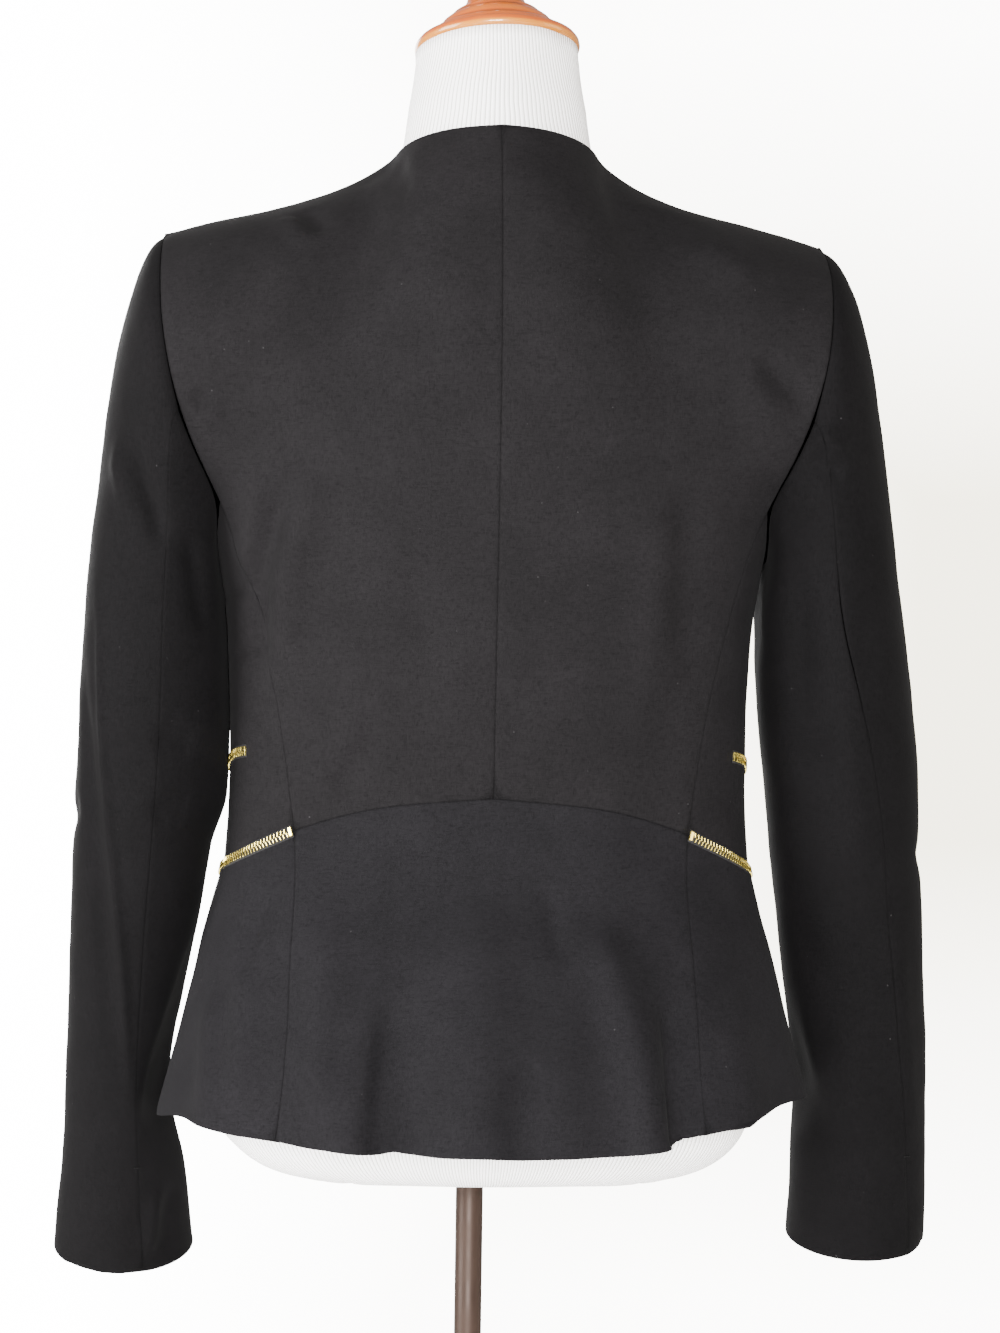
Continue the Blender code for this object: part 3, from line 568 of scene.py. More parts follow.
def crease_out(name, points):
    """How far the folds push each point of a piece out along its normal."""
    out = np.zeros(len(points))
    for crease in CREASES:
        if crease.piece != family(name):
            continue
        gap, share = along(crease.line, points)
        fade = np.clip(share / END_FADE, 0, 1)
        if crease.piece != "peplum":
            fade = fade * np.clip((1 - share) / END_FADE, 0, 1)
        fade = fade * fade * (3 - 2 * fade)
        out += FOLD_GAIN * crease.depth * fade * np.exp(-((gap / crease.half_width) ** 2))
    return out


# %% [markdown]
# ## Cloth shells
#
# Every new piece is a bmesh until it is done. Then it becomes an object at the origin, rides
# on the one body that the part has, and takes one material. Where a modifier makes part of
# the shape, it is turned into the mesh at once.

# %% Piece helpers
def mesh_data(name, mesh):
    """A finished bmesh as mesh data."""
    data = bpy.data.meshes.new(name)
    mesh.to_mesh(data)
    mesh.free()
    return data


def placed(name, data):
    """New data as an object in the scene."""
    item = bpy.data.objects.new(name, data)
    bpy.context.scene.collection.objects.link(item)
    return item


def new_piece(name, mesh, material):
    """A finished bmesh as a piece of the blazer or its form."""
    data = mesh_data(name, mesh)
    data.materials.append(material)
    data.shade_smooth()
    piece = placed(name, data)
    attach(piece, "root")
    return piece


def baked(piece):
    """Turns the piece's modifiers into its mesh."""
    shown = piece.evaluated_get(bpy.context.evaluated_depsgraph_get())
    data = bpy.data.meshes.new_from_object(shown)
    piece.modifiers.clear()
    old = piece.data
    piece.data = data
    data.name = old.name
    bpy.data.meshes.remove(old)


def rounded(piece, levels):
    rounding = piece.modifiers.new("rounding", "SUBSURF")
    rounding.levels = rounding.render_levels = levels
    baked(piece)


def vectors_of(piece, kind):
    """The co or the normal of all points, as rows."""
    values = np.empty(len(piece.data.vertices) * 3)
    piece.data.vertices.foreach_get(kind, values)
    return values.reshape(-1, 3)


def put_points(piece, points):
    piece.data.vertices.foreach_set("co", points.ravel())
    piece.data.update()


def tree_of(piece):
    """The piece's surface, ready for rays and for the nearest point."""
    return BVHTree.FromObject(piece, bpy.context.evaluated_depsgraph_get())


# %% [markdown]
# A skin gets a narrow border first, so that a later subdivision keeps its outline and a
# seam can sink in sharply. Where the border meets another piece it is a seam: both edges
# go down by 0.6 mm and meet, which reads as the thin dark line of a pressed seam. Where it
# meets nothing it is a folded edge: the neckline, the fronts, the hem and the cuffs.

# %% Borders
BORDER = 0.0015
SEAM_REACH = 0.0013
SEAM_CLOSE = 0.00034
CORNER_TURN = math.cos(math.radians(140))


def bordered(mesh, others):
    """Adds the narrow border and marks it: seams in one layer, all edges in another."""
    bmesh.ops.inset_region(
        mesh, faces=mesh.faces[:], thickness=BORDER, use_boundary=True, use_even_offset=True
    )
    deform = mesh.verts.layers.deform.verify()
    floats = mesh.verts.layers.float
    corner = floats.get("crease_vert") or floats.new("crease_vert")
    rim = [v for v in mesh.verts if v.is_boundary]
    for vert in rim:
        near = any(
            (found := tree.find_nearest(vert.co))[0] is not None and found[3] < SEAM_REACH
            for tree in others
        )
        vert[deform][0] = 1.0 if near else 0.0
        vert[deform][1] = 1.0
    for vert in rim:
        outer = [e.other_vert(vert).co - vert.co for e in vert.link_edges if e.is_boundary]
        if outer[0].normalized().dot(outer[1].normalized()) > CORNER_TURN:
            vert[corner] = 1.0
    for vert in rim:
        if vert[deform][0] < 0.5:
            continue
        inward = [e.other_vert(vert).co - vert.co for e in vert.link_edges if not e.is_boundary]
        if inward:
            vert.co -= SEAM_CLOSE * sum(inward, Vector()).normalized()


# %% [markdown]
# The skin is subdivided, and the folds and a slow unevenness of about a millimetre move it
# along its normals. A seam's stitches pull at the cloth every 11 mm, so its depth varies a
# little. Simulation isn't used here: a structured jacket holds its cut, and these few folds
# are more exact when listed one by one.

# %% Relief
SEAM_DEPTH = 0.0006
SEAM_FALL = 1.6
PUCKER_PITCH = 0.011
PUCKER_WAY = np.array([1.0, 0.6, 1.3])
PUCKER_SHARE = 0.18
UNEVEN_SIZE = 0.055
UNEVEN_DEPTH = 0.0011
FINER_SIZE = UNEVEN_SIZE / 2.7
FINER_SHARE = 0.35
FINER_SHIFT = Vector((7, 3, 5))
EDGE_CALM = 0.75


def weights_of(piece, group):
    found = np.zeros(len(piece.data.vertices))
    for vert in piece.data.vertices:
        for entry in vert.groups:
            if entry.group == group:
                found[vert.index] = entry.weight
    return found


def unevenness(points):
    values = [noise.noise(Vector(p) / UNEVEN_SIZE) for p in points]
    finer = [noise.noise(Vector(p) / FINER_SIZE + FINER_SHIFT) for p in points]
    return UNEVEN_DEPTH * (np.array(values) + FINER_SHARE * np.array(finer))


def relax(piece, name):
    """Moves a subdivided skin along its normals: folds, unevenness, sunk seams and puckers."""
    points, normals = vectors_of(piece, "co"), vectors_of(piece, "normal")
    seam, edge = weights_of(piece, 0), weights_of(piece, 1)
    calm = 1 - EDGE_CALM * np.clip(edge - seam, 0, 1)
    pucker = np.sin(points @ PUCKER_WAY * 2 * math.pi / PUCKER_PITCH)
    out = crease_out(name, points) + unevenness(points) * calm
    out -= SEAM_DEPTH * seam**SEAM_FALL * (1 + PUCKER_SHARE * pucker)
    put_points(piece, points + out[:, None] * normals)
    piece.data.attributes.new("seam_mask", "FLOAT", "POINT").data.foreach_set("value", seam)


# %% [markdown]
# The left sleeve hangs against the body from the armhole to the elbow. Where its folds would
# run into the side panel, the cloth lies on the panel instead: 0.9 mm off it, and 1.8 mm off
# it from the upper zip's teeth down. The right sleeve follows the same rule.

# %% Contact
CONTACT_REACH = 0.015
CONTACT_BELOW = 1.20
CONTACT_GAP = ((1.062, 1.080), (0.0018, 0.0009))


def keep_clear(piece, wall):
    """Lays the points of a sleeve that would lie inside a panel back on to it."""
    points = vectors_of(piece, "co")
    moved = 0
    for i in np.flatnonzero(points[:, 2] < CONTACT_BELOW):
        spot, out, _, _ = wall.find_nearest(Vector(points[i]), CONTACT_REACH)
        gap = float(np.interp(points[i][2], *CONTACT_GAP))
        if spot is not None and (Vector(points[i]) - spot).dot(out) < gap:
            points[i] = spot + gap * out
            moved += 1
    put_points(piece, points)
    print(piece.name, "lies on the side panel at", moved, "points")


# %% [markdown]
# The last 80 mm of each sleeve's back seam are a closed vent: one edge laps over the other,
# so the line is bolder there.

# %% Vents
VENT_TOP = {"left": 0.822, "right": 0.828}
VENT_WIDTH = 0.0022
VENT_DEPTH = -0.0005
VENT_SEARCH = 0.03
BEHIND_MIDDLE = 0.012


def back_seam_below(side, top):
    """The points of a sleeve's back seam under a height, from the top down."""
    edge = [v.co.copy() for v in skins["sleeve_upper_" + side].verts if v.is_boundary]
    edge = [p for p in edge if p.z < top + VENT_SEARCH]
    middle = sum(p.y for p in edge) / len(edge)
    behind = sorted((p for p in edge if p.y > middle + BEHIND_MIDDLE), key=lambda p: -p.z)
    return [tuple(p) for p in behind if p.z < top]


back_seam_top = {}
for side, top in VENT_TOP.items():
    vent = back_seam_below(side, top)
    CREASES.append(Crease("sleeve_" + side, VENT_WIDTH, VENT_DEPTH, vent))
    back_seam_top[side] = Vector(vent[0])
    print("vent", side, "starts at", [round(c, 3) for c in vent[0]])

# %% [markdown]
# Now every skin goes through the same steps: border, subdivision, relief, contact and, at
# the end, a thickness of 1.2 mm that grows inward.

# %% Cloth shells
CLOTH_THICKNESS = 0.0012
CLOTH_LEVELS = 3

trees = {name: BVHTree.FromBMesh(mesh) for name, mesh in skins.items()}
cloth, outer_walls = {}, {}
for name in CLOTH:
    bordered(skins[name], [tree for other, tree in trees.items() if other != name])
    piece_suiting = SUITING.get(name.split("_")[0], SUITING["bodice"])
    piece = new_piece("blazer_" + name, skins[name], piece_suiting)
    for group in ("seam", "edge"):
        piece.vertex_groups.new(name=group)
    rounded(piece, CLOTH_LEVELS)
    relax(piece, name)
    outer_walls[name] = tree_of(piece)
    if name.startswith("sleeve"):
        keep_clear(piece, outer_walls["side_" + side_of(name)])
    sheet = piece.modifiers.new("thickness", "SOLIDIFY")
    sheet.thickness = CLOTH_THICKNESS
    sheet.offset = -1.0
    baked(piece)
    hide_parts(name)
    cloth[name] = piece
    print(piece.name, len(piece.data.polygons), "faces")

# %% [markdown]
# ## Bar tacks
#
# A short row of dense stitches across the back seam ends each cuff vent at its top. It is
# 5 mm long and hardly thicker than the thread, so a rounded bar laid on the cloth does.

# %% Bar tacks
TACK_SIZE = Vector((0.0052, 0.0009, 0.0008))
TACK_BEVEL = 0.00025


def block(size, bevel, segments):
    """A small block with bevelled edges, at the origin."""
    mesh = bmesh.new()
    bmesh.ops.create_cube(mesh, size=1.0)
    bmesh.ops.scale(mesh, vec=size, verts=mesh.verts)
    bmesh.ops.bevel(
        mesh,
        geom=mesh.edges[:],
        offset=bevel,
        segments=segments,
        affect="EDGES",
        profile=0.5,
        material=-1,
    )
    return mesh


def place_matrix(point, along_way, across, out):
    return Matrix.Translation(point) @ Matrix((along_way, across, out)).transposed().to_4x4()


thread_material, tree, shader = principled("tack_thread", specular_ior_level=0.03)
spun = [("Vector", object_point(tree)), ("Scale", 700.0), ("Distortion", 1.0)]
twist = node(tree, "ShaderNodeTexWave", spun).outputs["Fac"]
# The thread's colour is darkest where its twist is lowest: painted shade between the twists.
feed(
    tree,
    shader,
    Base_Color=ramp(tree, twist, [(0.2, (0.003, 0.003, 0.003)), (0.8, (0.007, 0.0065, 0.007))]),
    Roughness=ramp(tree, twist, [(0.2, 0.62), (0.8, 0.48)]),
    Normal=bump(tree, twist, 0.0002),
)

for side, seam_point in back_seam_top.items():
    spot, out, _, _ = tree_of(cloth["sleeve_upper_" + side]).find_nearest(seam_point)
    across = Vector((0, 0, 1)).cross(out).normalized()
    bar = block(TACK_SIZE, TACK_BEVEL, 2)
    place = place_matrix(spot, across, out.cross(across), out)
    bmesh.ops.transform(bar, matrix=place, verts=bar.verts)
    tack = new_piece("bar_tack_" + side, bar, thread_material)
    print(tack.name, "at", [round(c, 3) for c in spot])

# %% [markdown]
# ## The cut
#
# The area of each piece, measured on the finished shape as half its shell's area. A cut
# has a width, a length, an area and what it hangs on, and only the area is worked out here.

# %% Cut sizes
Cut = namedtuple("Cut", "width length area hangs_on")

for name, piece in cloth.items():
    print(name, "area", round(sum(f.area for f in piece.data.polygons) / 2, 4))

# %% [markdown]
# ## The dress form
#
# The form is padded board under a white rib-knit jersey, pulled tight. The ribs are fine
# grooves that run straight up and down, and where a groove dips its colour is grey, a
# painted shade. They come from a map of the skin's own, called ribs: across, it counts the
# ribs from the centre back, and a slow noise lets them wander.

# %% Rib jersey
GROOVE_PAINTED_SHADE = (0.40, 0.385, 0.36)
JERSEY_WHITE = (0.94, 0.935, 0.925)
WANDER = 0.9

knit_group = new_group("rib_knit", [], [("Color", COLOR), ("Height", NUMBER)])
ribs_map = node(knit_group, "ShaderNodeUVMap", uv_map="ribs").outputs["UV"]
count = node(knit_group, "ShaderNodeSeparateXYZ", [(0, ribs_map)]).outputs["X"]
wandering = calc(knit_group, "MULTIPLY_ADD", cloudy(knit_group, 30.0, 1.0), WANDER, count)
wave = calc(knit_group, "SINE", calc(knit_group, "MULTIPLY", wandering, 2 * math.pi))
height = calc(knit_group, "MULTIPLY_ADD", wave, 0.5, 0.5)
# Painted shade: the low part of each rib groove is grey on the white jersey.
shade = ramp(knit_group, height, [(0.0, GROOVE_PAINTED_SHADE), (0.26, JERSEY_WHITE)])
feed(knit_group, knit_group.nodes["out"], Color=shade, Height=height)

jersey_material, tree, shader = principled(
    "rib_jersey", roughness=0.88, sheen_weight=0.10, sheen_roughness=0.6, specular_ior_level=0.25
)
knit = add_group(tree, knit_group).outputs
feed(tree, shader, Base_Color=knit["Color"], Normal=bump(tree, knit["Height"], 0.0004, 0.7))
print("jersey nodes:", len(knit_group.nodes))

# %% [markdown]
# The form's solid carries the blazer, and here it becomes one smooth skin: its triangles are
# joined to quads and subdivided. Under the blazer it is 3 mm slimmer, because cloth that
# folds inward needs room, and the bare neck is a little fuller.

# %% Form skin
FORM_LEVELS = 2
FORM_SHRINK = 0.0006
FORM_SLIM = 0.0026
HIDDEN_FROM = (0.93, 0.97)
HIDDEN_TO = (1.400, 1.425)
NECK_BARE = (1.425, 1.450)
NECK_EASE = 0.0013
QUAD_LIMIT = math.radians(60)


def risen(values, start, end):
    """How far each value has come from start to end, 0 to 1."""
    return np.clip((values - start) / (end - start), 0, 1)


form_mesh = merged_copy("form_body")
bmesh.ops.join_triangles(
    form_mesh,
    faces=form_mesh.faces[:],
    angle_face_threshold=QUAD_LIMIT,
    angle_shape_threshold=QUAD_LIMIT,
)
form = new_piece("dress_form", form_mesh, jersey_material)
rounded(form, FORM_LEVELS)
points, normals = vectors_of(form, "co"), vectors_of(form, "normal")
bare = risen(points[:, 2], *NECK_BARE)
hidden = risen(points[:, 2], *HIDDEN_FROM) * (1 - risen(points[:, 2], *HIDDEN_TO))
out = bare * (NECK_EASE + FORM_SHRINK) - FORM_SHRINK - FORM_SLIM * hidden
put_points(form, points + out[:, None] * normals)
print("form height", round(float(points[:, 2].max() - points[:, 2].min()), 3))

# %% [markdown]
# The neck is cut 7 mm under the cap, in a plane that leans as the cap does, and its rim goes
# straight up from there, so that the cap sits on a clean round edge.
#
# The ribs are about 2.4 mm apart round the neck and 2.6 mm apart round the hips, and their
# number changes only where the blazer hides it.

# %% Neck and ribs
NECK_RIBS = 132
HIP_RIBS = 340
RIB_CHANGE = (1.05, 1.32)
NECK_SEAT = 0.0001
NECK_RISE = 0.0070
CAP_LEAN = math.radians(9)
CAP_ROLL = math.radians(2.4)
CAP_CENTRE = Vector((FORM_X, -0.004, 1.4870))
CAP_TURN = Matrix.Rotation(CAP_ROLL, 4, "Y") @ Matrix.Rotation(CAP_LEAN, 4, "X")
CAP_AXIS = (CAP_TURN @ Vector((0, 0, 1, 0))).to_3d()

skin = bmesh.new()
skin.from_mesh(form.data)
bmesh.ops.bisect_plane(
    skin,
    geom=skin.verts[:] + skin.edges[:] + skin.faces[:],
    plane_co=CAP_CENTRE - CAP_AXIS * NECK_RISE,
    plane_no=CAP_AXIS,
    clear_outer=True,
)
rim = [e for e in skin.edges if e.is_boundary]
raised = bmesh.ops.extrude_edge_only(skin, edges=rim)["geom"]
bmesh.ops.translate(
    skin,
    vec=CAP_AXIS * (NECK_RISE - NECK_SEAT),
    verts=[g for g in raised if isinstance(g, bmesh.types.BMVert)],
)
bmesh.ops.contextual_create(skin, geom=[e for e in skin.edges if e.is_boundary])
bmesh.ops.recalc_face_normals(skin, faces=skin.faces)
ribs = skin.loops.layers.uv.new("ribs")
for face in skin.faces:
    turns = [math.atan2(l.vert.co.x - FORM_X, l.vert.co.y) / (2 * math.pi) for l in face.loops]
    if max(turns) - min(turns) > 0.5:
        turns = [t + 1 if t < 0 else t for t in turns]
    for loop, turn in zip(face.loops, turns):
        z = loop.vert.co.z
        around = HIP_RIBS + float(risen(z, *RIB_CHANGE)) * (NECK_RIBS - HIP_RIBS)
        loop[ribs].uv = (turn * around, z)
skin.to_mesh(form.data)
skin.free()
form.data.shade_smooth()
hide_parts("form_body")
print("form faces:", len(form.data.polygons))

# %% [markdown]
# ## Turned pieces: cap, pole and base
#
# The cap, the pole and the base come off a lathe, so each is one profile turned about its
# axis. The corners of a profile are small steps of their own, which catch the light as
# turned edges do. The cap sits level with the neck's top, which leans by 9 degrees.

# %% Lathe
SHARP_CORNER = math.radians(35)
SHARP_SHADE = math.radians(50)
CORNER_BEVEL = 0.0006


def turned_piece(name, profile, steps, material, replaces, place=Matrix.Identity(4)):
    mesh = bmesh.new()
    verts = [mesh.verts.new((radius, 0, height)) for radius, height in profile]
    edges = [mesh.edges.new(pair) for pair in zip(verts, verts[1:])]
    bmesh.ops.spin(
        mesh,
        geom=verts + edges,
        cent=(0, 0, 0),
        axis=(0, 0, 1),
        angle=2 * math.pi,
        steps=steps,
        use_merge=True,
    )
    bmesh.ops.remove_doubles(mesh, verts=mesh.verts, dist=WELD)
    bmesh.ops.recalc_face_normals(mesh, faces=mesh.faces)
    inner = [e for e in mesh.edges if len(e.link_faces) == 2]
    bmesh.ops.bevel(
        mesh,
        geom=[e for e in inner if e.calc_face_angle() > SHARP_CORNER],
        offset=CORNER_BEVEL,
        segments=2,
        affect="EDGES",
        profile=0.5,
        material=-1,
    )
    bmesh.ops.transform(mesh, matrix=place, verts=mesh.verts)
    piece = new_piece(name, mesh, material)
    piece.data.set_sharp_from_angle(angle=SHARP_SHADE)
    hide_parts(replaces)
    return piece


# %% [markdown]
# The cap is beech under an orange varnish. Its tone follows the height along the cap's own
# axis: lighter on the rolled rim, darker above it, and darkest in thin lines at the three
# turned grooves, which are painted shade. The grain breaks it up a little.

# %% Varnished beech
CAP_TONE_TOP = 0.040
# Tone by height up the cap: the three dark lines are painted shade in the turned grooves.
CAP_TONE_AND_GROOVE_SHADE = [
    (0.00, 0.92), (0.070, 0.92), (0.095, 0.50), (0.185, 0.44), (0.205, 0.20), (0.235, 0.46),
    (0.34, 0.50), (0.365, 0.20), (0.40, 0.55), (0.53, 0.50), (0.56, 0.18), (0.60, 0.56),
]
BEECH = [
    (0.10, (0.085, 0.020, 0.004)), (0.50, (0.27, 0.050, 0.003)), (0.90, (0.34, 0.115, 0.006)),
]
GRAIN_SHARE = 0.55

beech = new_group("varnished_beech", [], [("Color", COLOR), ("Roughness", NUMBER)])
grain = cloudy(beech, 1.0, 5.0, stretch=(18, 150, 150), roughness=0.6)
from_cap = node(
    beech,
    "ShaderNodeVectorMath",
    [(0, object_point(beech)), (1, CAP_CENTRE)],
    operation="SUBTRACT",
).outputs["Vector"]
up_the_cap = node(
    beech, "ShaderNodeVectorMath", [(0, from_cap), (1, CAP_AXIS)], operation="DOT_PRODUCT"
).outputs["Value"]
tone_and_groove_shade = ramp(beech, ranged(beech, up_the_cap, from_min=0.0, from_max=CAP_TONE_TOP), CAP_TONE_AND_GROOVE_SHADE)
tone = calc(beech, "MULTIPLY_ADD", grain, GRAIN_SHARE, -GRAIN_SHARE / 2)
feed(
    beech,
    beech.nodes["out"],
    Color=ramp(beech, calc(beech, "ADD", tone, tone_and_groove_shade), BEECH),
    Roughness=ramp(beech, grain, [(0.3, 0.34), (0.7, 0.26)]),
)
wood_material, tree, shader = principled(
    "varnished_wood", coat_weight=0.45, coat_roughness=0.10, specular_ior_level=0.25
)
wooden = add_group(tree, beech).outputs
feed(tree, shader, Base_Color=wooden["Color"], Roughness=wooden["Roughness"])
print("beech nodes:", len(beech.nodes))

# %% [markdown]
# Metal and enamel wear unevenly: where the surface is smoother, its colour is a little
# darker. One group of fine noise serves all such finishes.

# %% Worn finishes
STAIN = 0.88

wear_group = new_group("fine_wear", [("Scale", 60.0)], [("Low", NUMBER), ("High", NUMBER)])
wear = cloudy(wear_group, wear_group.nodes["in"].outputs["Scale"], 4.0)
feed(
    wear_group,
    wear_group.nodes["out"],
    High=ramp(wear_group, wear, [(0.35, 0.0), (0.65, 1.0)]),
    Low=ramp(wear_group, wear, [(0.35, 1.0), (0.65, 0.0)]),
)


def worn(name, low, high, color, scale=60.0, **settings):
    """A material with one colour, whose roughness varies between low and high as it wears."""
    material, tree, shader = principled(name, **settings)
    wear = add_group(tree, wear_group, Scale=scale).outputs
    stained = (*[c * STAIN for c in color], 1)
    feed(
        tree,
        shader,
        Roughness=ranged(tree, wear["High"], to_min=low, to_max=high),
        Base_Color=mixed(tree, wear["Low"], (*color, 1), stained),
    )
    return material


# The pole's colour is far darker than nickel: a painted reflection of the dark room that a bright
# metal pole would mirror.
NICKEL_PAINTED_DARK_REFLECTION = (0.025, 0.0155, 0.0115)
ENAMEL = (0.78, 0.77, 0.75)
nickel_material = worn(
    "satin_nickel", 0.42, 0.55, NICKEL_PAINTED_DARK_REFLECTION, metallic=0.3, specular_ior_level=0.12
)
enamel_material = worn(
    "satin_enamel", 0.30, 0.42, ENAMEL, coat_weight=0.3, coat_roughness=0.2
)
print("worn finishes:", nickel_material.name, enamel_material.name)

# %% [markdown]
# Each profile is a list of radius and height, from the bottom up. The cap has a rolled rim,
# three steps and a knob. The pole stands on the base's collar and ends just under the form.

# %% Turned pieces
CAP_PROFILE = [
    (0, 0), (0.0485, 0), (0.0502, 0.0012), (0.0506, 0.0030), (0.0503, 0.0050),
    (0.0490, 0.0068), (0.0466, 0.0078), (0.0441, 0.0081), (0.0432, 0.0088), (0.0427, 0.0102),
    (0.0414, 0.0116), (0.0390, 0.0126), (0.0364, 0.0134), (0.0352, 0.0142), (0.0348, 0.0162),
    (0.0336, 0.0186), (0.0312, 0.0206), (0.0286, 0.0218), (0.0280, 0.0226), (0.0274, 0.0242),
    (0.0250, 0.0258), (0.0218, 0.0276), (0.0192, 0.0300), (0.0178, 0.0330), (0.0172, 0.0360),
    (0.0178, 0.0385), (0.0205, 0.0422), (0.0232, 0.0462), (0.0245, 0.0520), (0.0238, 0.0572),
    (0.0214, 0.0622), (0.0172, 0.0664), (0.0110, 0.0692), (0.0050, 0.0700), (0, 0.0700),
]
POLE_RADIUS = 0.0083
POLE_PROFILE = [(0, 0.0343), (POLE_RADIUS, 0.0343), (POLE_RADIUS, 0.8077), (0, 0.8077)]
BASE_PROFILE = [
    (0, 0), (0.1630, 0), (0.1650, 0.0016), (0.1650, 0.0052), (0.1636, 0.0072),
    (0.1615, 0.0080), (0.0280, 0.0080), (0.0240, 0.0086), (0.0218, 0.0104), (0.0210, 0.0125),
    (0.0210, 0.0312), (0.0202, 0.0332), (0.0184, 0.0340), (0, 0.0340),
]
cap = turned_piece(
    "neck_cap_turned",
    CAP_PROFILE,
    96,
    wood_material,
    "neck_cap",
    place=Matrix.Translation(CAP_CENTRE) @ CAP_TURN,
)
pole = turned_piece("pole_tube", POLE_PROFILE, 64, nickel_material, "pole")
base = turned_piece("base_plate", BASE_PROFILE, 128, enamel_material, "base")
for piece in (cap, pole, base):
    print(piece.name, len(piece.data.polygons), "faces")

# %% [markdown]
# ## Zip trims
#
# Four closed zips cross the side panels: one on each waist seam and one above it, falling
# from the back to the front. Only the teeth and the tape's edges show. A tooth is a small
# pressed block of pale gold metal. Both rows lean a little and mesh along the middle,
# 1.25 mm apart, and a square stop closes the chain at each end. The tape is black and lies
# on the cloth, so the teeth stand just over a millimetre proud of it.
#
# The tape that is built is 7.6 mm wide, though its flat width is stated as 10.1 mm, because
# a sheet takes no flat side under 10 mm.

# %% Zip parts
TOOTH_PITCH = 0.00125
TOOTH_SIZE = Vector((0.00072, 0.0028, 0.0013))
TOOTH_BEVEL = 0.00022
TOOTH_REACH = 0.00140
TOOTH_LEAN = math.radians(14)
TEETH_LIFT = 0.0005
TEETH_SHARP = math.radians(30)
STOP_SIZE = Vector((0.0024, 0.0056, 0.0017))
STOP_BEVEL = 0.0003
STOP_ROOM = 3
TAPE_HALF = 0.0038
TAPE_THICKNESS = 0.0003
TAPE_LIFT = 0.00015
TAPE_STEP = 4

tooth = mesh_data("tooth", block(TOOTH_SIZE, TOOTH_BEVEL, 1))
stop = mesh_data("stop", block(STOP_SIZE, STOP_BEVEL, 1))
gold_material = worn("pale_gold", 0.16, 0.34, (0.96, 0.78, 0.20), scale=900.0, metallic=1.0)
tape_material, tree, shader = principled("zip_tape", roughness=0.8, specular_ior_level=0.3)
woven = add_group(tree, suiting, Thread=2.0).outputs
feed(tree, shader, Base_Color=woven["Color"], Normal=bump(tree, woven["Height"], 0.0002))
print("tooth faces:", len(tooth.polygons))

# %% [markdown]
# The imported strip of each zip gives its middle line. Its outer skin has three points at
# each station, which sort by their angle round the body. The line between them is evened
# out over 6 mm to each side, and a place on it is a point with its ways along, up and out.

# %% Zip paths
EASE_REACH = 0.006


def strip_stations(name):
    """The middle, the way up and the way out at each station of a zip's strip, from the back."""
    mesh = outer_skin(name, (FORM_X, 0.0))
    verts = sorted(mesh.verts, key=lambda v: abs(math.atan2(v.co.x - FORM_X, v.co.y)))
    stations = []
    for i in range(0, len(verts) - 2, 3):
        low, middle, high = sorted(verts[i : i + 3], key=lambda v: v.co.z)
        stations.append((middle.co.copy(), (high.co - low.co).normalized(), middle.normal.copy()))
    mesh.free()
    return stations


def smooth_path(stations, pitch):
    """Places along the stations at an even pitch: point, along, up and out."""
    points = np.array([s[0] for s in stations])
    lengths = np.concatenate([[0], np.cumsum(np.linalg.norm(np.diff(points, axis=0), axis=1))])
    ups = np.array([s[1] for s in stations])
    outs = np.array([s[2] for s in stations])
    count = int(lengths[-1] / pitch)
    at = np.linspace(0, lengths[-1], count + 1)

    def eased(values):
        columns = [np.interp(at, lengths, values[:, i]) for i in range(3)]
        grid = np.array(columns).T
        soft = grid.copy()
        reach = max(int(EASE_REACH / pitch), 1)
        for i in range(len(grid)):
            k = min(reach, i, len(grid) - 1 - i)
            soft[i] = grid[i - k : i + k + 1].mean(axis=0)
        return soft

    path, up, out = eased(points), eased(ups), eased(outs)
    tangent = np.gradient(path, axis=0)
    frames = []
    for p, t, u, o in zip(path, tangent, up, out):
        o = Vector(o).normalized()
        t = Vector(t).normalized()
        t = (t - t.dot(o) * o).normalized()
        frames.append((Vector(p), t, o.cross(t), o))
    return frames


# %% [markdown]
# From each place, rays go in to the finished cloth at three points of the tape's width, and
# the chain is laid on the highest cloth that they meet near by.

# %% Laying on the cloth
SEARCH = 0.012
TAPE_SHARES = (-0.8, 0.0, 0.8)
LAY_REACH = 3

cloth_trees = {name: tree_of(piece) for name, piece in cloth.items()}


def window(values, i):
    """The values near one of them, as many to each side as LAY_REACH says."""
    return values[max(i - LAY_REACH, 0) : i + LAY_REACH + 1]


def laid(frames, side):
    """The same places, moved on to the highest cloth under the tape and evened out."""
    walls = [cloth_trees["side_" + side], cloth_trees["peplum_side_" + side]]
    lifts = []
    for point, _, across, out in frames:
        heights = [-SEARCH]
        for share in TAPE_SHARES:
            start = point + across * (share * TAPE_HALF) + out * SEARCH
            for wall in walls:
                hit = wall.ray_cast(start, -out, 2 * SEARCH)
                if hit[0] is not None:
                    heights.append(SEARCH - hit[3])
        lifts.append(max(heights))
    high = [max(window(lifts, i)) for i in range(len(lifts))]
    even = [sum(window(high, i)) / len(window(high, i)) for i in range(len(high))]
    return [(p + out * lift, t, across, out) for (p, t, across, out), lift in zip(frames, even)]


# %% [markdown]
# The teeth are one piece and the tape is another, with a point at every fourth tooth. The
# stop at the back takes the room of the first three teeth.

# %% Zips
def zip_chain(frames):
    """Both rows of teeth and a stop at each end."""
    chain = bmesh.new()

    def add(shape, place):
        made = len(chain.verts)
        chain.from_mesh(shape)
        bmesh.ops.transform(chain, matrix=place, verts=chain.verts[made:])

    for i, (point, t, across, out) in enumerate(frames):
        if i < STOP_ROOM:
            continue
        side = 1 if i % 2 else -1
        middle = point + across * (side * TOOTH_REACH) + out * TEETH_LIFT
        turn = Matrix.Rotation(side * TOOTH_LEAN, 4, "Z")
        add(tooth, place_matrix(middle, t, across, out) @ turn)
    for point, t, across, out in (frames[1], frames[-1]):
        add(stop, place_matrix(point + out * TEETH_LIFT, t, across, out))
    return chain


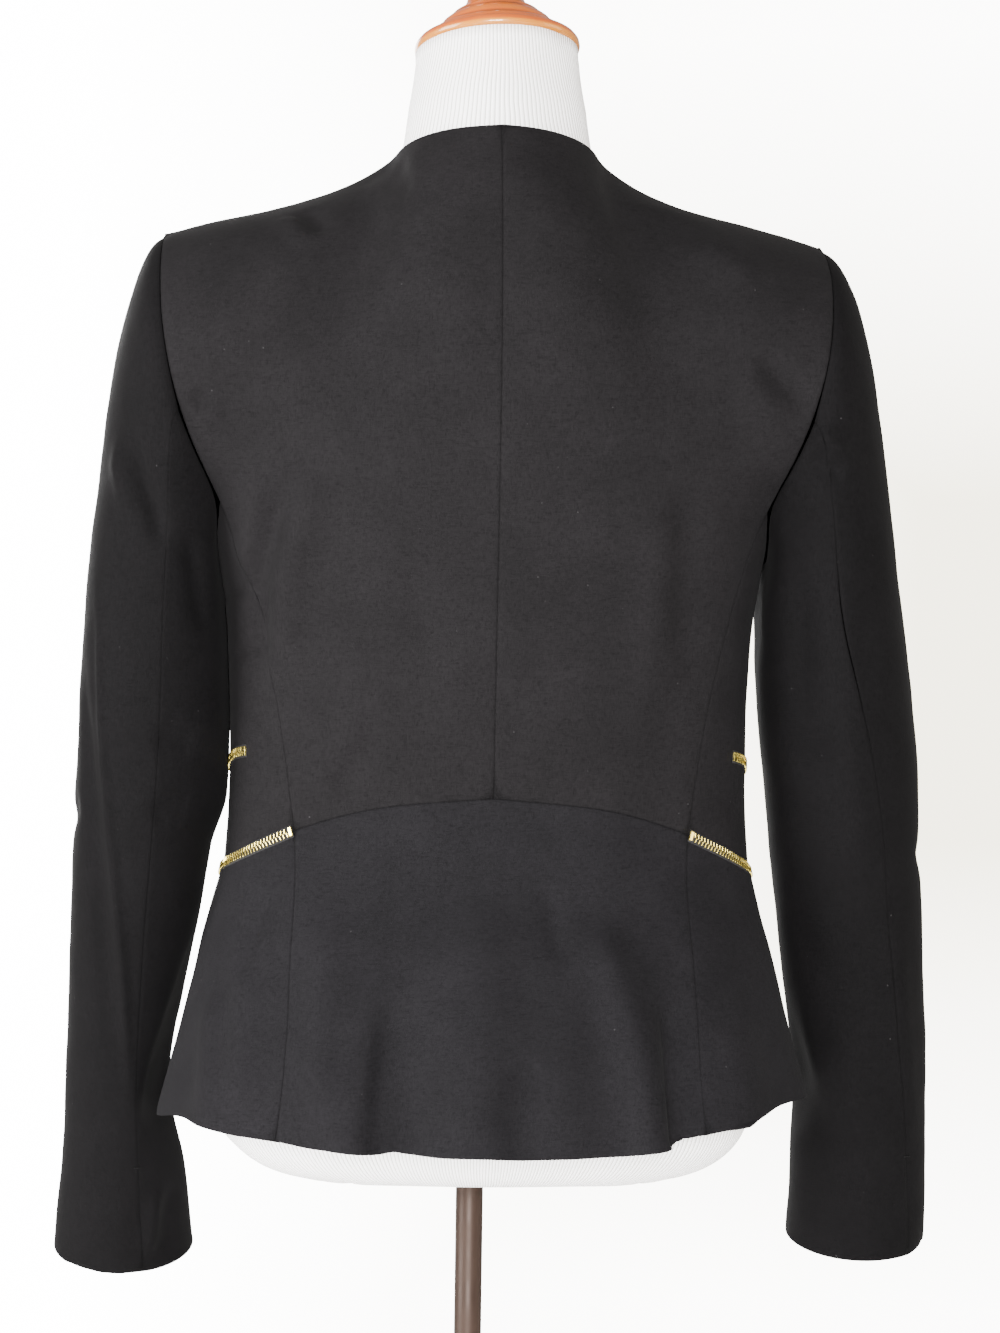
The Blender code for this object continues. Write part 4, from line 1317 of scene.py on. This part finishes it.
def zip_tape(frames):
    """The flat band that the teeth sit on."""
    places = frames[::TAPE_STEP] + [frames[-1]]
    tape = bmesh.new()
    low = [p - across * TAPE_HALF + out * TAPE_LIFT for p, _, across, out in places]
    edge = [tape.verts.new(point) for point in low]
    lines = [tape.edges.new(pair) for pair in zip(edge, edge[1:])]
    sweep = bmesh.ops.extrude_edge_only(tape, edges=lines)["geom"]
    moved = [g for g in sweep if isinstance(g, bmesh.types.BMVert)]
    for vert, (_, _, across, _) in zip(moved, places):
        vert.co = vert.co + across * (2 * TAPE_HALF)
    bmesh.ops.recalc_face_normals(tape, faces=tape.faces)
    bmesh.ops.solidify(tape, geom=tape.faces[:], thickness=TAPE_THICKNESS)
    bmesh.ops.recalc_face_normals(tape, faces=tape.faces)
    return tape


for name in ("zip_upper_left", "zip_upper_right", "zip_lower_left", "zip_lower_right"):
    side = side_of(name)
    frames = laid(smooth_path(strip_stations(name), TOOTH_PITCH), side)
    teeth_name, tape_name = name.replace("zip", "zip_teeth"), name.replace("zip", "zip_tape")
    teeth = new_piece(teeth_name, zip_chain(frames), gold_material)
    teeth.data.set_sharp_from_angle(angle=TEETH_SHARP)
    band = new_piece(tape_name, zip_tape(frames), tape_material)
    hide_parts(name)
    print(teeth.name, len(teeth.data.polygons), "faces")

# %% [markdown]
# ## Studio
#
# The photograph is high key: a white wall, even soft light and a stronger soft light from
# the left, so the left of the back is a stop lighter than the right. The floor and the
# wall are pale and plain.

# %% Floor
FLOOR_RADIUS = 2.4
FLOOR_WHITE = (0.93, 0.93, 0.925, 1)

floor_material, tree, shader = principled("white_floor", roughness=0.9, base_color=FLOOR_WHITE)
floor_mesh = bmesh.new()
bmesh.ops.create_circle(floor_mesh, cap_ends=True, radius=FLOOR_RADIUS, segments=128)
floor = placed("floor", mesh_data("floor", floor_mesh))
floor.data.materials.append(floor_material)
print("floor across:", 2 * FLOOR_RADIUS)

# %% [markdown]
# Four soft boxes: one behind the camera, a large strong one on the left, a weak and warmer
# one on the right, and one that lights the front, which the camera doesn't see.

# %% Lights
LIGHT_AIM = Vector((0.0, 0.0, 1.15))
Light = namedtuple("Light", "name place width height power color")
LIGHTS = [
    Light("window", (0.15, 2.6, 1.25), 0.8, 0.8, 306, (1.0, 0.985, 0.975)),
    Light("left", (2.5, 0.9, 1.4), 1.4, 1.6, 270, (1.0, 0.99, 0.985)),
    Light("right", (-2.6, 0.5, 1.4), 1.4, 1.6, 38, (1.0, 0.94, 0.84)),
    Light("front", (0.9, -2.4, 1.5), 1.6, 1.6, 110, (1.0, 1.0, 1.0)),
]
for light in LIGHTS:
    data = bpy.data.lights.new(light.name, "AREA")
    data.shape = "RECTANGLE"
    data.size, data.size_y = light.width, light.height
    data.energy = light.power
    data.color = light.color
    way = LIGHT_AIM - Vector(light.place)
    turned = way.to_track_quat("-Z", "Y").to_matrix().to_4x4()
    placed(light.name, data).matrix_world = Matrix.Translation(light.place) @ turned
print("lights:", [light.name for light in LIGHTS])

# %% [markdown]
# The wall is the world as the camera sees it, with its light painted in: blown out on the
# left, and a painted shade, a little grey, on the right at eye level. All other rays see one
# even, slightly warm grey.

# %% Wall
AMBIENT = (0.74, 0.70, 0.66, 1)
WALL_LEFT = (16.0, 16.0, 16.0, 1)
WALL_RIGHT = (5.0, 4.7, 3.8, 1)

world = bpy.data.worlds.new("studio")
bpy.context.scene.world = world
world.use_nodes = True
sky = world.node_tree
looking = node(sky, "ShaderNodeTexCoord").outputs["Generated"]
way = node(sky, "ShaderNodeSeparateXYZ", [(0, looking)]).outputs
across_wall = ranged(sky, way["X"], from_min=-0.20, from_max=0.10)
height = calc(sky, "ABSOLUTE", way["Z"])
away_from_eye_level = ranged(sky, height, from_min=0.06, from_max=0.22, to_max=0.6)
lit = calc(sky, "MAXIMUM", across_wall, away_from_eye_level)
wall = mixed(sky, lit, WALL_RIGHT, WALL_LEFT)
camera_ray = node(sky, "ShaderNodeLightPath").outputs["Is Camera Ray"]
feed(sky, sky.nodes["Background"], Color=mixed(sky, camera_ray, AMBIENT, wall))
print("wall nodes:", len(sky.nodes))
